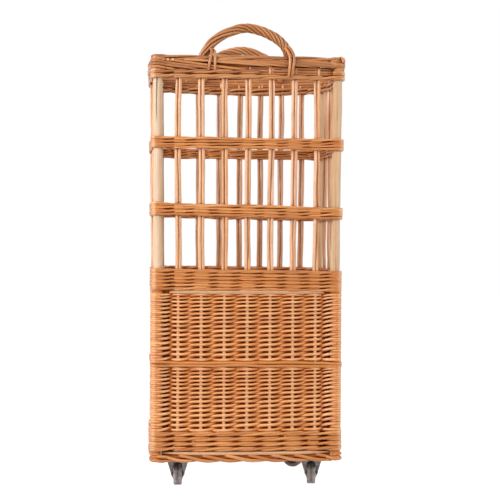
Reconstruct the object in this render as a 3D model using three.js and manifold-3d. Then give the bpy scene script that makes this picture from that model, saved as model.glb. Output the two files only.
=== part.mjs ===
// Baguette basket on swivel castors: a willow cage woven round four corner posts and upright stakes,
// which are doubled by by-stakes above the raised bread floor. It stands on a drilled plywood base and
// has a plaited rim and two roped handles.
// Millimetres, +Z up. The origin is on the ground under the middle of the basket and the front faces -Y.

import * as THREE from "three";
import { mergeVertices } from "three/addons/utils/BufferGeometryUtils.js";
import Module from "manifold-3d";

const wasm = await Module();
wasm.setup();

// Plan: posts and stakes stand on the wall line, a rectangle through the post centres with bowed sides
const POST_SPAN_X = 366;
const POST_SPAN_Y = 264;
const BOW_FRONT_BACK = 10;
const BOW_SIDES = 13;
const POST_DIAMETER = 20;
const STAKE_ROD = 6.5;
const STAKE_ROD_SPREAD = 0.9;
const STAKES_WIDE = 7;
const STAKES_DEEP = 5;
const STAKE_END_GAP_WIDE = 41.4;
const STAKE_END_GAP_DEEP = 44;

// Weave: how far each course reaches from the wall line, and how thick it wraps round a post
const WEAVER = 4.5;
const WEAVE_NECK = 2.8;
const BORDER_ROD = 7;
const WAIST_RIB = 1.2;
const RIM_WRAP = 9.5;
const RIM_REACH_OUT = 14;
const RIM_REACH_IN = 15;
const RIM_ROUNDING = 4;

// Heights, from the ground up
const CASTOR_HEIGHT = 77;
const BOARD_THICKNESS = 7;
const FOOT_DROP = 15;
const UPSETT_HEIGHT = 41;
const LOWER_SIDING_HEIGHT = 131;
const WAIST_HEIGHT = 14;
const UPPER_SIDING_HEIGHT = 151;
const SHOULDER_HEIGHT = 43;
const LOWER_OPENING = 107;
const LOWER_BAND_HEIGHT = 26;
const UPPER_OPENING = 114;
const UPPER_BAND_HEIGHT = 24;
const TOP_OPENING = 120;
const RIM_HEIGHT = 48;
const STAKE_END_COVER = 8;

// Handles
const HANDLE_SPAN = 176;
const HANDLE_RISE = 56;
const HANDLE_RADIUS = 8.4;
const HANDLE_STRANDS = 4;
const HANDLE_STRAND_RELIEF = 0.7;
const HANDLE_TURNS = 3;
const HANDLE_INSET = 9;
const BOW_END_RADIUS = 4;
const BOW_END_DEPTH = 34;

// Castors
const CASTOR_INSET_X = 42;
const CASTOR_INSET_Y = 41;
const CASTOR_TRAIL = 20;
const CASTOR_HEADINGS = { front_left: 180, front_right: 172.5, back_left: 176, back_right: -117 };
const WHEEL_DIAMETER = 50;
const WHEEL_WIDTH = 18;
const TYRE_DEPTH = 8;
const TYRE_SHOULDER = 3;
const HUB_WIDTH = 16;
const AXLE_DIAMETER = 6;
const AXLE_HEAD = 4;
const PLATE_SIZE = 60;
const PLATE_THICKNESS = 2.5;
const PLATE_HOLE_INSET = 8;
const PLATE_HOLE_DIAMETER = 5.4;
const RACE_RADIUS = 17;
const RACE_HEIGHT = 4;
const KINGPIN_DIAMETER = 9;
const KINGPIN_HEAD_RADIUS = 7.5;
const KINGPIN_HEAD = 3;
const FORK_PLATE = 2.5;
const FORK_CROWN_WIDTH = 48;
const FORK_CROWN_LENGTH = 44;
const FORK_LEG_END_RADIUS = 9;
const FORK_SIDE_GAP = 1.4;
const FORK_LEG_STRAIGHT = 6.5;

// Fits: pieces that rest on or pass through each other are this far apart
const FIT = 0.3;
const RUNNING_FIT = 0.4;

// Facets of the round pieces
const POST_SIDES = 12;
const POST_ROOM_SIDES = 8;
const WALL_STEPS = 4;
const CORNER_STEP = Math.PI / 4;
const ROD_SIDES = 6;
const WHEEL_SIDES = 18;
const RACE_SIDES = 12;
const PIN_SIDES = 8;
const HOLE_SIDES = 6;
const HANDLE_STEPS = 24;
const HANDLE_SIDES = 8;

const MATERIALS = {
  weaver: { color: 0xc08a55, roughness: 0.62, metalness: 0 },
  stake: { color: 0xd9a87f, roughness: 0.6, metalness: 0 },
  post: { color: 0xecd0b2, roughness: 0.7, metalness: 0 },
  plywood: { color: 0xd6a47c, roughness: 0.7, metalness: 0 },
  zinc: { color: 0x9b9a98, roughness: 0.38, metalness: 0.9 },
  tyre: { color: 0x8c7f7a, roughness: 0.8, metalness: 0 },
  hub: { color: 0x4d4744, roughness: 0.55, metalness: 0 },
};

const postRadius = POST_DIAMETER / 2;
const rodRadius = STAKE_ROD / 2;

// The four walls in turn, counter-clockwise from above; each starts at its own corner post
const stakePitch = (span, endGap, stakes) => (span - 2 * endGap) / (stakes - 1);
const LONG_WALL = {
  span: POST_SPAN_X,
  bow: BOW_FRONT_BACK,
  stakes: STAKES_WIDE,
  pitch: stakePitch(POST_SPAN_X, STAKE_END_GAP_WIDE, STAKES_WIDE),
};
const SHORT_WALL = {
  span: POST_SPAN_Y,
  bow: BOW_SIDES,
  stakes: STAKES_DEEP,
  pitch: stakePitch(POST_SPAN_Y, STAKE_END_GAP_DEEP, STAKES_DEEP),
};
const WALLS = [
  { ...LONG_WALL, name: "front", along: [1, 0], corner: "front_left" },
  { ...SHORT_WALL, name: "right", along: [0, 1], corner: "front_right" },
  { ...LONG_WALL, name: "back", along: [-1, 0], corner: "back_right" },
  { ...SHORT_WALL, name: "left", along: [0, -1], corner: "back_left" },
].map((wall) => {
  const along = new THREE.Vector2(...wall.along);
  const out = new THREE.Vector2(along.y, -along.x);
  const depth = wall.span === POST_SPAN_X ? POST_SPAN_Y : POST_SPAN_X;
  const post = out.clone().multiplyScalar(depth / 2).addScaledVector(along, -wall.span / 2);
  return { ...wall, along, out, post };
});

// A point of the wall line, so far along a wall from its first post and so far out from it
function wallPoint(wall, distance, reach) {
  const share = distance / wall.span;
  const bow = 4 * wall.bow * share * (1 - share);
  return wall.post.clone().addScaledVector(wall.along, distance).addScaledVector(wall.out, reach + bow);
}

const STAKES = WALLS.flatMap((wall) =>
  Array.from({ length: wall.stakes }, (_, index) => ({
    name: `stake_${wall.name}_${index + 1}`,
    wall,
    place: wallPoint(wall, wall.span / 2 + (index - (wall.stakes - 1) / 2) * wall.pitch, 0),
  })),
);

// A closed outline round the basket at one reach; at each post it follows a circle, round the outside
// of the post for a woven wall's face or round the inside for a face that passes within the posts. Two
// inner faces that meet before they come to that circle make a plain corner. Along a wall it has plain
// steps or, with a neck, a flute in each bay, where the weavers cross from one side of the stakes to the other.
function outline(reach, cornerRadius, roundOutside, neck = null) {
  const points = [];
  const mitred = Math.SQRT2 * -reach >= cornerRadius;
  const setback = mitred ? Math.abs(reach) : Math.sqrt(cornerRadius ** 2 - reach ** 2);
  WALLS.forEach((wall, index) => {
    const before = WALLS[(index + WALLS.length - 1) % WALLS.length];
    const arrive = before.out.clone().multiplyScalar(reach).addScaledVector(before.along, -setback);
    const leave = wall.out.clone().multiplyScalar(reach).addScaledVector(wall.along, setback);
    if (mitred) {
      points.push(leave.add(wall.post));
    } else {
      const start = arrive.angle();
      let sweep = leave.angle() - start;
      if (roundOutside && sweep < 0) sweep += 2 * Math.PI;
      if (!roundOutside && sweep > 0) sweep -= 2 * Math.PI;
      const steps = Math.ceil(Math.abs(sweep) / CORNER_STEP);
      for (let step = 0; step <= steps; step += 1) {
        const angle = start + (sweep * step) / steps;
        const spoke = new THREE.Vector2(Math.cos(angle), Math.sin(angle));
        points.push(spoke.multiplyScalar(cornerRadius).add(wall.post));
      }
    }
    if (neck === null) {
      for (let step = 1; step < WALL_STEPS; step += 1) {
        const distance = setback + ((wall.span - 2 * setback) * step) / WALL_STEPS;
        points.push(wallPoint(wall, distance, reach));
      }
    } else {
      const flutes = 2 * wall.stakes + 1;
      for (let turn = 0; turn < flutes; turn += 1) {
        const distance = wall.span / 2 + ((turn - (flutes - 1) / 2) * wall.pitch) / 2;
        points.push(wallPoint(wall, distance, turn % 2 === 0 ? neck : reach));
      }
    }
  });
  return points;
}

function circle(centre, radius, sides) {
  return Array.from({ length: sides }, (_, side) => {
    const angle = (2 * Math.PI * side) / sides;
    return new THREE.Vector2(Math.cos(angle), Math.sin(angle)).multiplyScalar(radius).add(centre);
  });
}

// A point of the plan, so far along the wall from a stake's middle and so far out from it
function besideStake(stake, across, outwards) {
  const { along, out } = stake.wall;
  return stake.place.clone().addScaledVector(along, across).addScaledVector(out, outwards);
}

// The section of a single stake
function rodSection(stake) {
  return circle(new THREE.Vector2(), rodRadius, ROD_SIDES).map(({ x, y }) => besideStake(stake, x, y));
}

// The section of a stake and its by-stake: two rods side by side along the wall, pressed together
function pairSection(stake) {
  const offset = rodRadius * STAKE_ROD_SPREAD;
  const points = [];
  for (const side of [1, -1]) {
    for (let turn = -2; turn <= 2; turn += 1) {
      const angle = (turn * 2 * Math.PI) / ROD_SIDES;
      points.push(
        besideStake(stake, side * (offset + rodRadius * Math.cos(angle)), side * rodRadius * Math.sin(angle)),
      );
    }
  }
  return points;
}

// The slot that a stake of one half length along the wall leaves in the weave or in a board
function stakeSlot(stake, halfLength) {
  const halfDepth = rodRadius + FIT;
  return [[-1, -1], [1, -1], [1, 1], [-1, 1]].map(([across, outwards]) =>
    besideStake(stake, across * (halfLength + FIT), outwards * halfDepth),
  );
}

// The plan of one woven course, before the uprights pass through it
function coursePlan(reachOut, reachIn, wrap) {
  const cornerRadius = postRadius + wrap;
  const plan = new THREE.Shape(outline(reachOut, cornerRadius, true));
  plan.holes.push(new THREE.Path(outline(-reachIn, cornerRadius, false)));
  return plan;
}

// The plan of the randed siding: thick where it passes the stakes and drawn in between them
function sidingPlan() {
  const cornerRadius = postRadius + WEAVER;
  const plan = new THREE.Shape(outline(wallReach, cornerRadius, true, WEAVE_NECK));
  plan.holes.push(new THREE.Path(outline(-wallReach, cornerRadius, false, -WEAVE_NECK)));
  return plan;
}

function prism(plan, bottom, top) {
  const geometry = new THREE.ExtrudeGeometry(plan, { depth: top - bottom, bevelEnabled: false });
  return geometry.translate(0, 0, bottom);
}

// A turned piece: radius and height pairs, about the Z axis
function turned(profile, sides) {
  const points = profile.map(([radius, height]) => new THREE.Vector2(radius, height));
  return new THREE.LatheGeometry(points, sides).rotateX(Math.PI / 2);
}

function solidOf(geometry) {
  const bare = geometry.clone();
  bare.deleteAttribute("normal");
  bare.deleteAttribute("uv");
  const merged = mergeVertices(bare, 1e-4);
  const corners = merged.index.array;
  const triangles = [];
  for (let first = 0; first < corners.length; first += 3) {
    const [a, b, c] = corners.slice(first, first + 3);
    if (a !== b && b !== c && c !== a) triangles.push(a, b, c);
  }
  const mesh = new wasm.Mesh({
    numProp: 3,
    vertProperties: Float32Array.from(merged.attributes.position.array),
    triVerts: Uint32Array.from(triangles),
  });
  return new wasm.Manifold(mesh);
}

function geometryOf(solid) {
  const mesh = solid.getMesh();
  const geometry = new THREE.BufferGeometry();
  geometry.setAttribute("position", new THREE.BufferAttribute(Float32Array.from(mesh.vertProperties), 3));
  geometry.setIndex(new THREE.BufferAttribute(Uint32Array.from(mesh.triVerts), 1));
  geometry.computeVertexNormals();
  return geometry;
}

function join(first, ...others) {
  return geometryOf(others.reduce((sum, next) => sum.add(solidOf(next)), solidOf(first)));
}

function cut(first, ...others) {
  return geometryOf(others.reduce((rest, next) => rest.subtract(solidOf(next)), solidOf(first)));
}

const common = (first, second) => geometryOf(solidOf(first).intersect(solidOf(second)));

function piece(name, geometry, finish) {
  const mesh = new THREE.Mesh(geometry, new THREE.MeshStandardMaterial(MATERIALS[finish]));
  mesh.name = name;
  return mesh;
}

// Levels, each resting on the one below
const baseBottom = CASTOR_HEIGHT;
const baseTop = baseBottom + BOARD_THICKNESS;
const footTop = baseBottom - FIT;
const footBottom = baseBottom - FOOT_DROP;
const upsettTop = baseTop + FIT + UPSETT_HEIGHT;
const lowerSidingTop = upsettTop + FIT + LOWER_SIDING_HEIGHT;
const upperSidingBottom = lowerSidingTop + FIT;
const upperSidingTop = upperSidingBottom + UPPER_SIDING_HEIGHT;
const floorBottom = upperSidingTop + FIT;
const floorTop = floorBottom + BOARD_THICKNESS;
const shoulderTop = floorTop + FIT + SHOULDER_HEIGHT;
const lowerBandBottom = shoulderTop + LOWER_OPENING;
const lowerBandTop = lowerBandBottom + LOWER_BAND_HEIGHT;
const upperBandBottom = lowerBandTop + UPPER_OPENING;
const upperBandTop = upperBandBottom + UPPER_BAND_HEIGHT;
const rimBottom = upperBandTop + TOP_OPENING;
const rimTop = rimBottom + RIM_HEIGHT;
const uprightBottom = footBottom + STAKE_END_COVER + FIT;
const uprightTop = rimTop - RIM_ROUNDING - STAKE_END_COVER - FIT;

const wallReach = rodRadius + WEAVER;

// The by-stakes stand on the bread floor beside the stakes
const byStakeFoot = floorTop + FIT;
const slotStep = floorTop + FIT / 2;

// The room that the uprights take in the weave and the boards, closed at both ends
const roomBottom = uprightBottom - FIT;
const roomTop = uprightTop + FIT;
const postRoomRadius = (postRadius + FIT) / Math.cos(Math.PI / POST_ROOM_SIDES);
const uprightRoom = join(
  ...WALLS.map((wall) => circle(wall.post, postRoomRadius, POST_ROOM_SIDES)).map((ring) =>
    prism(new THREE.Shape(ring), roomBottom, roomTop),
  ),
  ...STAKES.map((stake) => prism(new THREE.Shape(stakeSlot(stake, rodRadius)), roomBottom, slotStep + WEAVER)),
  ...STAKES.map((stake) =>
    prism(new THREE.Shape(stakeSlot(stake, rodRadius * (1 + STAKE_ROD_SPREAD))), slotStep, roomTop),
  ),
);

// Uprights
function buildStake(stake) {
  const single = prism(new THREE.Shape(rodSection(stake)), uprightBottom, byStakeFoot + WEAVER);
  const pair = prism(new THREE.Shape(pairSection(stake)), byStakeFoot, uprightTop);
  return piece(stake.name, join(single, pair), "stake");
}

function buildPost(wall) {
  const chamfer = postRadius / 8;
  const length = uprightTop - uprightBottom;
  const profile = [
    [0, 0],
    [postRadius - chamfer, 0],
    [postRadius, chamfer],
    [postRadius, length - chamfer],
    [postRadius - chamfer, length],
    [0, length],
  ];
  const post = piece(`post_${wall.corner}`, turned(profile, POST_SIDES).rotateZ(Math.PI / 2), "post");
  post.position.set(wall.post.x, wall.post.y, uprightBottom);
  return post;
}

// Boards: flush with the weave at the edges, notched round the posts, drilled for the stakes
function buildBoard(name, bottom) {
  const plan = new THREE.Shape(outline(wallReach, postRadius, false));
  return piece(name, cut(prism(plan, bottom, bottom + BOARD_THICKNESS), uprightRoom), "plywood");
}

// Woven courses
function buildCourse(name, bottom, top, reach = wallReach) {
  return piece(name, cut(prism(coursePlan(reach, reach, WEAVER), bottom, top), uprightRoom), "weaver");
}

function buildLowerSiding() {
  return piece("lower_siding", cut(prism(sidingPlan(), upsettTop + FIT, lowerSidingTop), uprightRoom), "weaver");
}

function buildUpperSiding() {
  const ribTop = upperSidingBottom + WAIST_HEIGHT;
  const ribReach = wallReach + WAIST_RIB;
  const waist = prism(coursePlan(ribReach, ribReach, WEAVER + WAIST_RIB), upperSidingBottom, ribTop);
  const siding = prism(sidingPlan(), ribTop, upperSidingTop);
  return piece("upper_siding", cut(join(waist, siding), uprightRoom), "weaver");
}

// Each handle stands over one long wall, its bow ends let into the rim inside the stakes
const HANDLES = [
  { name: "front_handle", wall: WALLS[0] },
  { name: "back_handle", wall: WALLS[2] },
].map((handle) => {
  const first = wallPoint(handle.wall, (handle.wall.span - HANDLE_SPAN) / 2, -HANDLE_INSET);
  return { ...handle, across: first.y };
});
const HANDLE_SIDES_X = [-HANDLE_SPAN / 2, HANDLE_SPAN / 2];

function buildRim() {
  const shoulder = rimTop - RIM_ROUNDING;
  const wale = coursePlan(RIM_REACH_OUT, RIM_REACH_IN, RIM_WRAP);
  const crown = coursePlan(RIM_REACH_OUT - RIM_ROUNDING, RIM_REACH_IN - RIM_ROUNDING, RIM_WRAP - RIM_ROUNDING);
  const border = join(prism(wale, rimBottom, shoulder), prism(crown, shoulder, rimTop));
  const sockets = HANDLES.flatMap((handle) =>
    HANDLE_SIDES_X.map((x) => {
      const ring = circle(new THREE.Vector2(x, handle.across), BOW_END_RADIUS + FIT, PIN_SIDES);
      return prism(new THREE.Shape(ring), rimTop - BOW_END_DEPTH - FIT, rimTop + FIT);
    }),
  );
  return piece("rim_border", cut(border, uprightRoom, ...sockets), "weaver");
}

// A roped handle: strands twisted round an arched bow whose thinner ends go down into the rim
function buildHandle(handle) {
  const stations = [];
  const foot = rimTop + FIT;
  const addStation = (x, z, lean, radius, turn) => stations.push({ x, z, lean, radius, turn });
  addStation(-HANDLE_SPAN / 2, rimTop - BOW_END_DEPTH, 0, BOW_END_RADIUS, 0);
  addStation(-HANDLE_SPAN / 2, foot, 0, BOW_END_RADIUS, 0);
  for (let step = 0; step <= HANDLE_STEPS; step += 1) {
    const share = step / HANDLE_STEPS;
    const angle = Math.PI * (1 - share);
    const x = (HANDLE_SPAN / 2) * Math.cos(angle);
    const z = foot + HANDLE_RISE * Math.sin(angle);
    const lean = Math.atan2((HANDLE_SPAN / 2) * Math.sin(angle), -HANDLE_RISE * Math.cos(angle));
    addStation(x, z, lean, HANDLE_RADIUS, share * HANDLE_TURNS * 2 * Math.PI);
  }
  addStation(HANDLE_SPAN / 2, foot, Math.PI, BOW_END_RADIUS, 0);
  addStation(HANDLE_SPAN / 2, rimTop - BOW_END_DEPTH, Math.PI, BOW_END_RADIUS, 0);

  const positions = [];
  for (const { x, z, lean, radius, turn } of stations) {
    const strands = radius === HANDLE_RADIUS ? HANDLE_STRAND_RELIEF : 0;
    for (let side = 0; side < HANDLE_SIDES; side += 1) {
      const angle = (2 * Math.PI * side) / HANDLE_SIDES;
      const reach = radius + strands * Math.cos(HANDLE_STRANDS * angle);
      const inPlane = reach * Math.cos(angle + turn);
      const sideways = reach * Math.sin(angle + turn);
      positions.push(x - inPlane * Math.cos(lean), handle.across + sideways, z + inPlane * Math.sin(lean));
    }
  }
  const index = [];
  for (let station = 0; station + 1 < stations.length; station += 1) {
    for (let side = 0; side < HANDLE_SIDES; side += 1) {
      const next = (side + 1) % HANDLE_SIDES;
      const [a, b] = [station * HANDLE_SIDES + side, station * HANDLE_SIDES + next];
      index.push(a, b + HANDLE_SIDES, b, a, a + HANDLE_SIDES, b + HANDLE_SIDES);
    }
  }
  const last = (stations.length - 1) * HANDLE_SIDES;
  for (let side = 1; side + 1 < HANDLE_SIDES; side += 1) {
    index.push(0, side, side + 1, last, last + side + 1, last + side);
  }
  const geometry = new THREE.BufferGeometry();
  geometry.setAttribute("position", new THREE.BufferAttribute(Float32Array.from(positions), 3));
  geometry.setIndex(index);
  geometry.computeVertexNormals();
  return piece(handle.name, geometry, "weaver");
}

// Castor levels and sizes, from the base board down
const plateTop = CASTOR_HEIGHT - FIT;
const plateBottom = plateTop - PLATE_THICKNESS;
const raceBottom = plateBottom - RACE_HEIGHT;
const domeTop = raceBottom - FIT;
const crownTop = domeTop - RACE_HEIGHT;
const crownBottom = crownTop - FORK_PLATE;
const wheelRadius = WHEEL_DIAMETER / 2;
const axleRadius = AXLE_DIAMETER / 2;
const kingpinRadius = KINGPIN_DIAMETER / 2;
const forkInside = WHEEL_WIDTH / 2 + FORK_SIDE_GAP;
const forkOutside = forkInside + FORK_PLATE;

// Wheel-side pieces are turned about Z and then laid along the axle, which runs along X
const alongAxle = (geometry) => geometry.rotateY(Math.PI / 2).translate(0, -CASTOR_TRAIL, wheelRadius);

function castorPlate() {
  const half = PLATE_SIZE / 2;
  const hole = half - PLATE_HOLE_INSET;
  const corners = [[-half, -half], [half, -half], [half, half], [-half, half]];
  const plan = new THREE.Shape(corners.map(([x, y]) => new THREE.Vector2(x, y)));
  for (const x of [-hole, hole]) {
    for (const y of [-hole, hole]) {
      plan.holes.push(new THREE.Path(circle(new THREE.Vector2(x, y), PLATE_HOLE_DIAMETER / 2, HOLE_SIDES)));
    }
  }
  const headTop = crownBottom - FIT;
  const post = turned(
    [
      [0, headTop - KINGPIN_HEAD],
      [KINGPIN_HEAD_RADIUS, headTop - KINGPIN_HEAD],
      [KINGPIN_HEAD_RADIUS, headTop],
      [kingpinRadius, headTop],
      [kingpinRadius, raceBottom],
      [RACE_RADIUS, raceBottom],
      [RACE_RADIUS, plateBottom + PLATE_THICKNESS / 2],
      [0, plateBottom + PLATE_THICKNESS / 2],
    ],
    RACE_SIDES,
  );
  return join(prism(plan, plateBottom, plateTop), post);
}

// The fork: a bent strip seen from the front, trimmed to its outline seen from the side
function castorFork() {
  const kneeHeight = wheelRadius + FORK_LEG_STRAIGHT;
  const half = FORK_CROWN_WIDTH / 2;
  const legFoot = wheelRadius - FORK_LEG_END_RADIUS;
  const strip = new THREE.Shape(
    [
      [-forkOutside, legFoot],
      [-forkInside, legFoot],
      [-forkInside, kneeHeight],
      [-half + FORK_PLATE, crownBottom],
      [half - FORK_PLATE, crownBottom],
      [forkInside, kneeHeight],
      [forkInside, legFoot],
      [forkOutside, legFoot],
      [forkOutside, kneeHeight],
      [half, crownTop],
      [-half, crownTop],
      [-forkOutside, kneeHeight],
    ].map(([x, z]) => new THREE.Vector2(x, z)),
  );
  const reach = CASTOR_TRAIL + FORK_CROWN_LENGTH;
  const bent = prism(strip, -reach, reach).rotateX(Math.PI / 2);

  const side = new THREE.Shape();
  side.moveTo(FORK_CROWN_LENGTH / 2, crownTop);
  side.lineTo(-FORK_CROWN_LENGTH / 2, crownTop);
  side.lineTo(-CASTOR_TRAIL - FORK_LEG_END_RADIUS, wheelRadius);
  side.absarc(-CASTOR_TRAIL, wheelRadius, FORK_LEG_END_RADIUS, Math.PI, 2 * Math.PI - Math.PI / 5, false);
  side.lineTo(FORK_CROWN_LENGTH / 2, crownBottom);
  const past = FORK_PLATE;
  const width = FORK_CROWN_WIDTH + 2 * past;
  const sideways = new THREE.ExtrudeGeometry(side, { depth: width, bevelEnabled: false, curveSegments: 6 });
  sideways.translate(0, 0, -width / 2).rotateX(Math.PI / 2).rotateZ(Math.PI / 2);

  const dome = turned(
    [
      [0, crownTop - FORK_PLATE / 2],
      [RACE_RADIUS + FORK_PLATE, crownTop - FORK_PLATE / 2],
      [RACE_RADIUS + FORK_PLATE, crownTop + RACE_HEIGHT / 3],
      [RACE_RADIUS - FORK_PLATE, domeTop],
      [0, domeTop],
    ],
    RACE_SIDES,
  );
  const boreRadius = kingpinRadius + RUNNING_FIT;
  const bore = new THREE.CylinderGeometry(boreRadius, boreRadius, 2 * RACE_RADIUS, RACE_SIDES);
  bore.rotateX(Math.PI / 2).translate(0, 0, crownTop);
  const eyes = alongAxle(turned(pinProfile(axleRadius + FIT, FORK_CROWN_WIDTH), PIN_SIDES));
  return cut(join(common(bent, sideways), dome), bore, eyes);
}

function pinProfile(radius, halfLength) {
  return [
    [0, -halfLength],
    [radius, -halfLength],
    [radius, halfLength],
    [0, halfLength],
  ];
}

// The axle: a bolt with its hexagon head on one side of the fork and its nut on the other
function castorAxle() {
  const seat = forkOutside + FIT;
  const shank = turned(pinProfile(axleRadius, seat + AXLE_HEAD), PIN_SIDES);
  const hexagon = (from) => {
    const head = new THREE.Shape(circle(new THREE.Vector2(), axleRadius * 1.9, 6));
    return prism(head, from, from + AXLE_HEAD - 1);
  };
  return alongAxle(join(shank, hexagon(seat), hexagon(-seat - AXLE_HEAD + 1)));
}

// The wheel rests on a flat of its many-sided rim, so the flats, not the edges, are at the rolling radius
const flats = 1 / Math.cos(Math.PI / WHEEL_SIDES);

function castorHub() {
  const half = HUB_WIDTH / 2;
  const rim = (wheelRadius - TYRE_DEPTH - FIT) * flats;
  const bore = axleRadius + RUNNING_FIT;
  const boss = axleRadius * 2.2;
  const web = half * 0.7;
  const profile = [
    [bore, -half],
    [boss, -half],
    [boss, -web],
    [rim, -web],
    [rim, web],
    [boss, web],
    [boss, half],
    [bore, half],
    [bore, -half],
  ];
  return alongAxle(turned(profile, WHEEL_SIDES));
}

function castorTyre() {
  const half = WHEEL_WIDTH / 2;
  const inner = (wheelRadius - TYRE_DEPTH) * flats;
  const outer = wheelRadius * flats;
  const crown = half * 0.62;
  const profile = [
    [inner, -half],
    [outer - TYRE_SHOULDER, -half],
    [outer, -crown],
    [outer, crown],
    [outer - TYRE_SHOULDER, half],
    [inner, half],
    [inner, -half],
  ];
  return alongAxle(turned(profile, WHEEL_SIDES));
}

function buildCastor(wall) {
  const castor = new THREE.Group();
  const x = wall.post.x - Math.sign(wall.post.x) * CASTOR_INSET_X;
  const y = wall.post.y - Math.sign(wall.post.y) * CASTOR_INSET_Y;
  castor.position.set(x, y, 0);
  const swivel = new THREE.Group();
  swivel.rotation.z = THREE.MathUtils.degToRad(CASTOR_HEADINGS[wall.corner]);
  const name = (part) => `castor_${wall.corner}_${part}`;
  castor.add(piece(name("plate"), castorPlate(), "zinc"));
  swivel.add(piece(name("fork"), castorFork(), "zinc"));
  swivel.add(piece(name("axle"), castorAxle(), "zinc"));
  swivel.add(piece(name("hub"), castorHub(), "hub"));
  swivel.add(piece(name("tyre"), castorTyre(), "tyre"));
  castor.add(swivel);
  return castor;
}

// Assembly
const basket = new THREE.Group();
basket.name = "baguette_basket";
for (const wall of WALLS) basket.add(buildPost(wall));
for (const stake of STAKES) basket.add(buildStake(stake));
basket.add(buildBoard("base_board", baseBottom));
basket.add(buildBoard("bread_floor", floorBottom));
basket.add(buildCourse("foot_border", footBottom, footTop, wallReach + BORDER_ROD / 4));
basket.add(buildCourse("upsett_wale", baseTop + FIT, upsettTop));
basket.add(buildLowerSiding());
basket.add(buildUpperSiding());
basket.add(buildCourse("shoulder_wale", floorTop + FIT, shoulderTop));
basket.add(buildCourse("lower_band", lowerBandBottom, lowerBandTop));
basket.add(buildCourse("upper_band", upperBandBottom, upperBandTop));
basket.add(buildRim());
for (const handle of HANDLES) basket.add(buildHandle(handle));
for (const wall of WALLS) basket.add(buildCastor(wall));

export default basket;
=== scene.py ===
"""Baguette basket on swivel castors: willow weave, stakes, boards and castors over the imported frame."""

import logging
import math
from collections import defaultdict
from dataclasses import dataclass, field
from enum import Enum
from typing import Callable, Dict, List, Optional, Sequence, Tuple, Union

import bpy
import numpy as np
from mathutils import Matrix, Vector


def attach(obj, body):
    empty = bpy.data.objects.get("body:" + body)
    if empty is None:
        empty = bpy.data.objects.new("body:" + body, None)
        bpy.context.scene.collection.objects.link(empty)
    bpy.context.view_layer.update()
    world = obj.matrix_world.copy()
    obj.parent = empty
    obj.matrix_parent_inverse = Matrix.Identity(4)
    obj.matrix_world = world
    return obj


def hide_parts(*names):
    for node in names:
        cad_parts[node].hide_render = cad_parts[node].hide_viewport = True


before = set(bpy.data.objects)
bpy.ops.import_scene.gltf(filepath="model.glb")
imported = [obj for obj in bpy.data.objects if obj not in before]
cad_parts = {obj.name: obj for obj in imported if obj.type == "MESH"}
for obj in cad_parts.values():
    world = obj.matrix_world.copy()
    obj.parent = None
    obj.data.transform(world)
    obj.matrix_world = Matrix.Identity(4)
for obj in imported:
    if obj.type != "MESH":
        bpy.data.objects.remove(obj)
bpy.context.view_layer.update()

logging.basicConfig(level=logging.INFO, format="%(message)s")
LOG = logging.getLogger("basket")

MM = 0.001
TINY = 1e-12
ROOT_BODY = "basket"
SMOOTH_ANGLE = math.radians(35.0)
SHARP_ANGLE = math.radians(40.0)
Thing = bpy.types.Object
Socket = bpy.types.NodeSocket
Material = bpy.types.Material
Array = np.ndarray
Pair = Tuple[float, float]
Triple = Tuple[float, float, float]
Colour = Triple
Numbers = Union[float, Array]
Look = Union[float, Array, Triple, None]
Value = Union[float, Sequence[float], Socket]
WHITE: Colour = (1.0, 1.0, 1.0)
BLACK: Colour = (0.0, 0.0, 0.0)


class Side(Enum):
    """Which face of an upright a rod passes."""

    OUTSIDE = 1
    INSIDE = -1


class Slot(Enum):
    """The record's material slots."""

    WEAVE = "willow_weave"
    STAKE = "willow_stake"
    POST = "peeled_wood"
    BOARD = "plywood"
    STEEL = "zinc_steel"
    HUB = "hub_plastic"
    TYRE = "grey_rubber"


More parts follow.
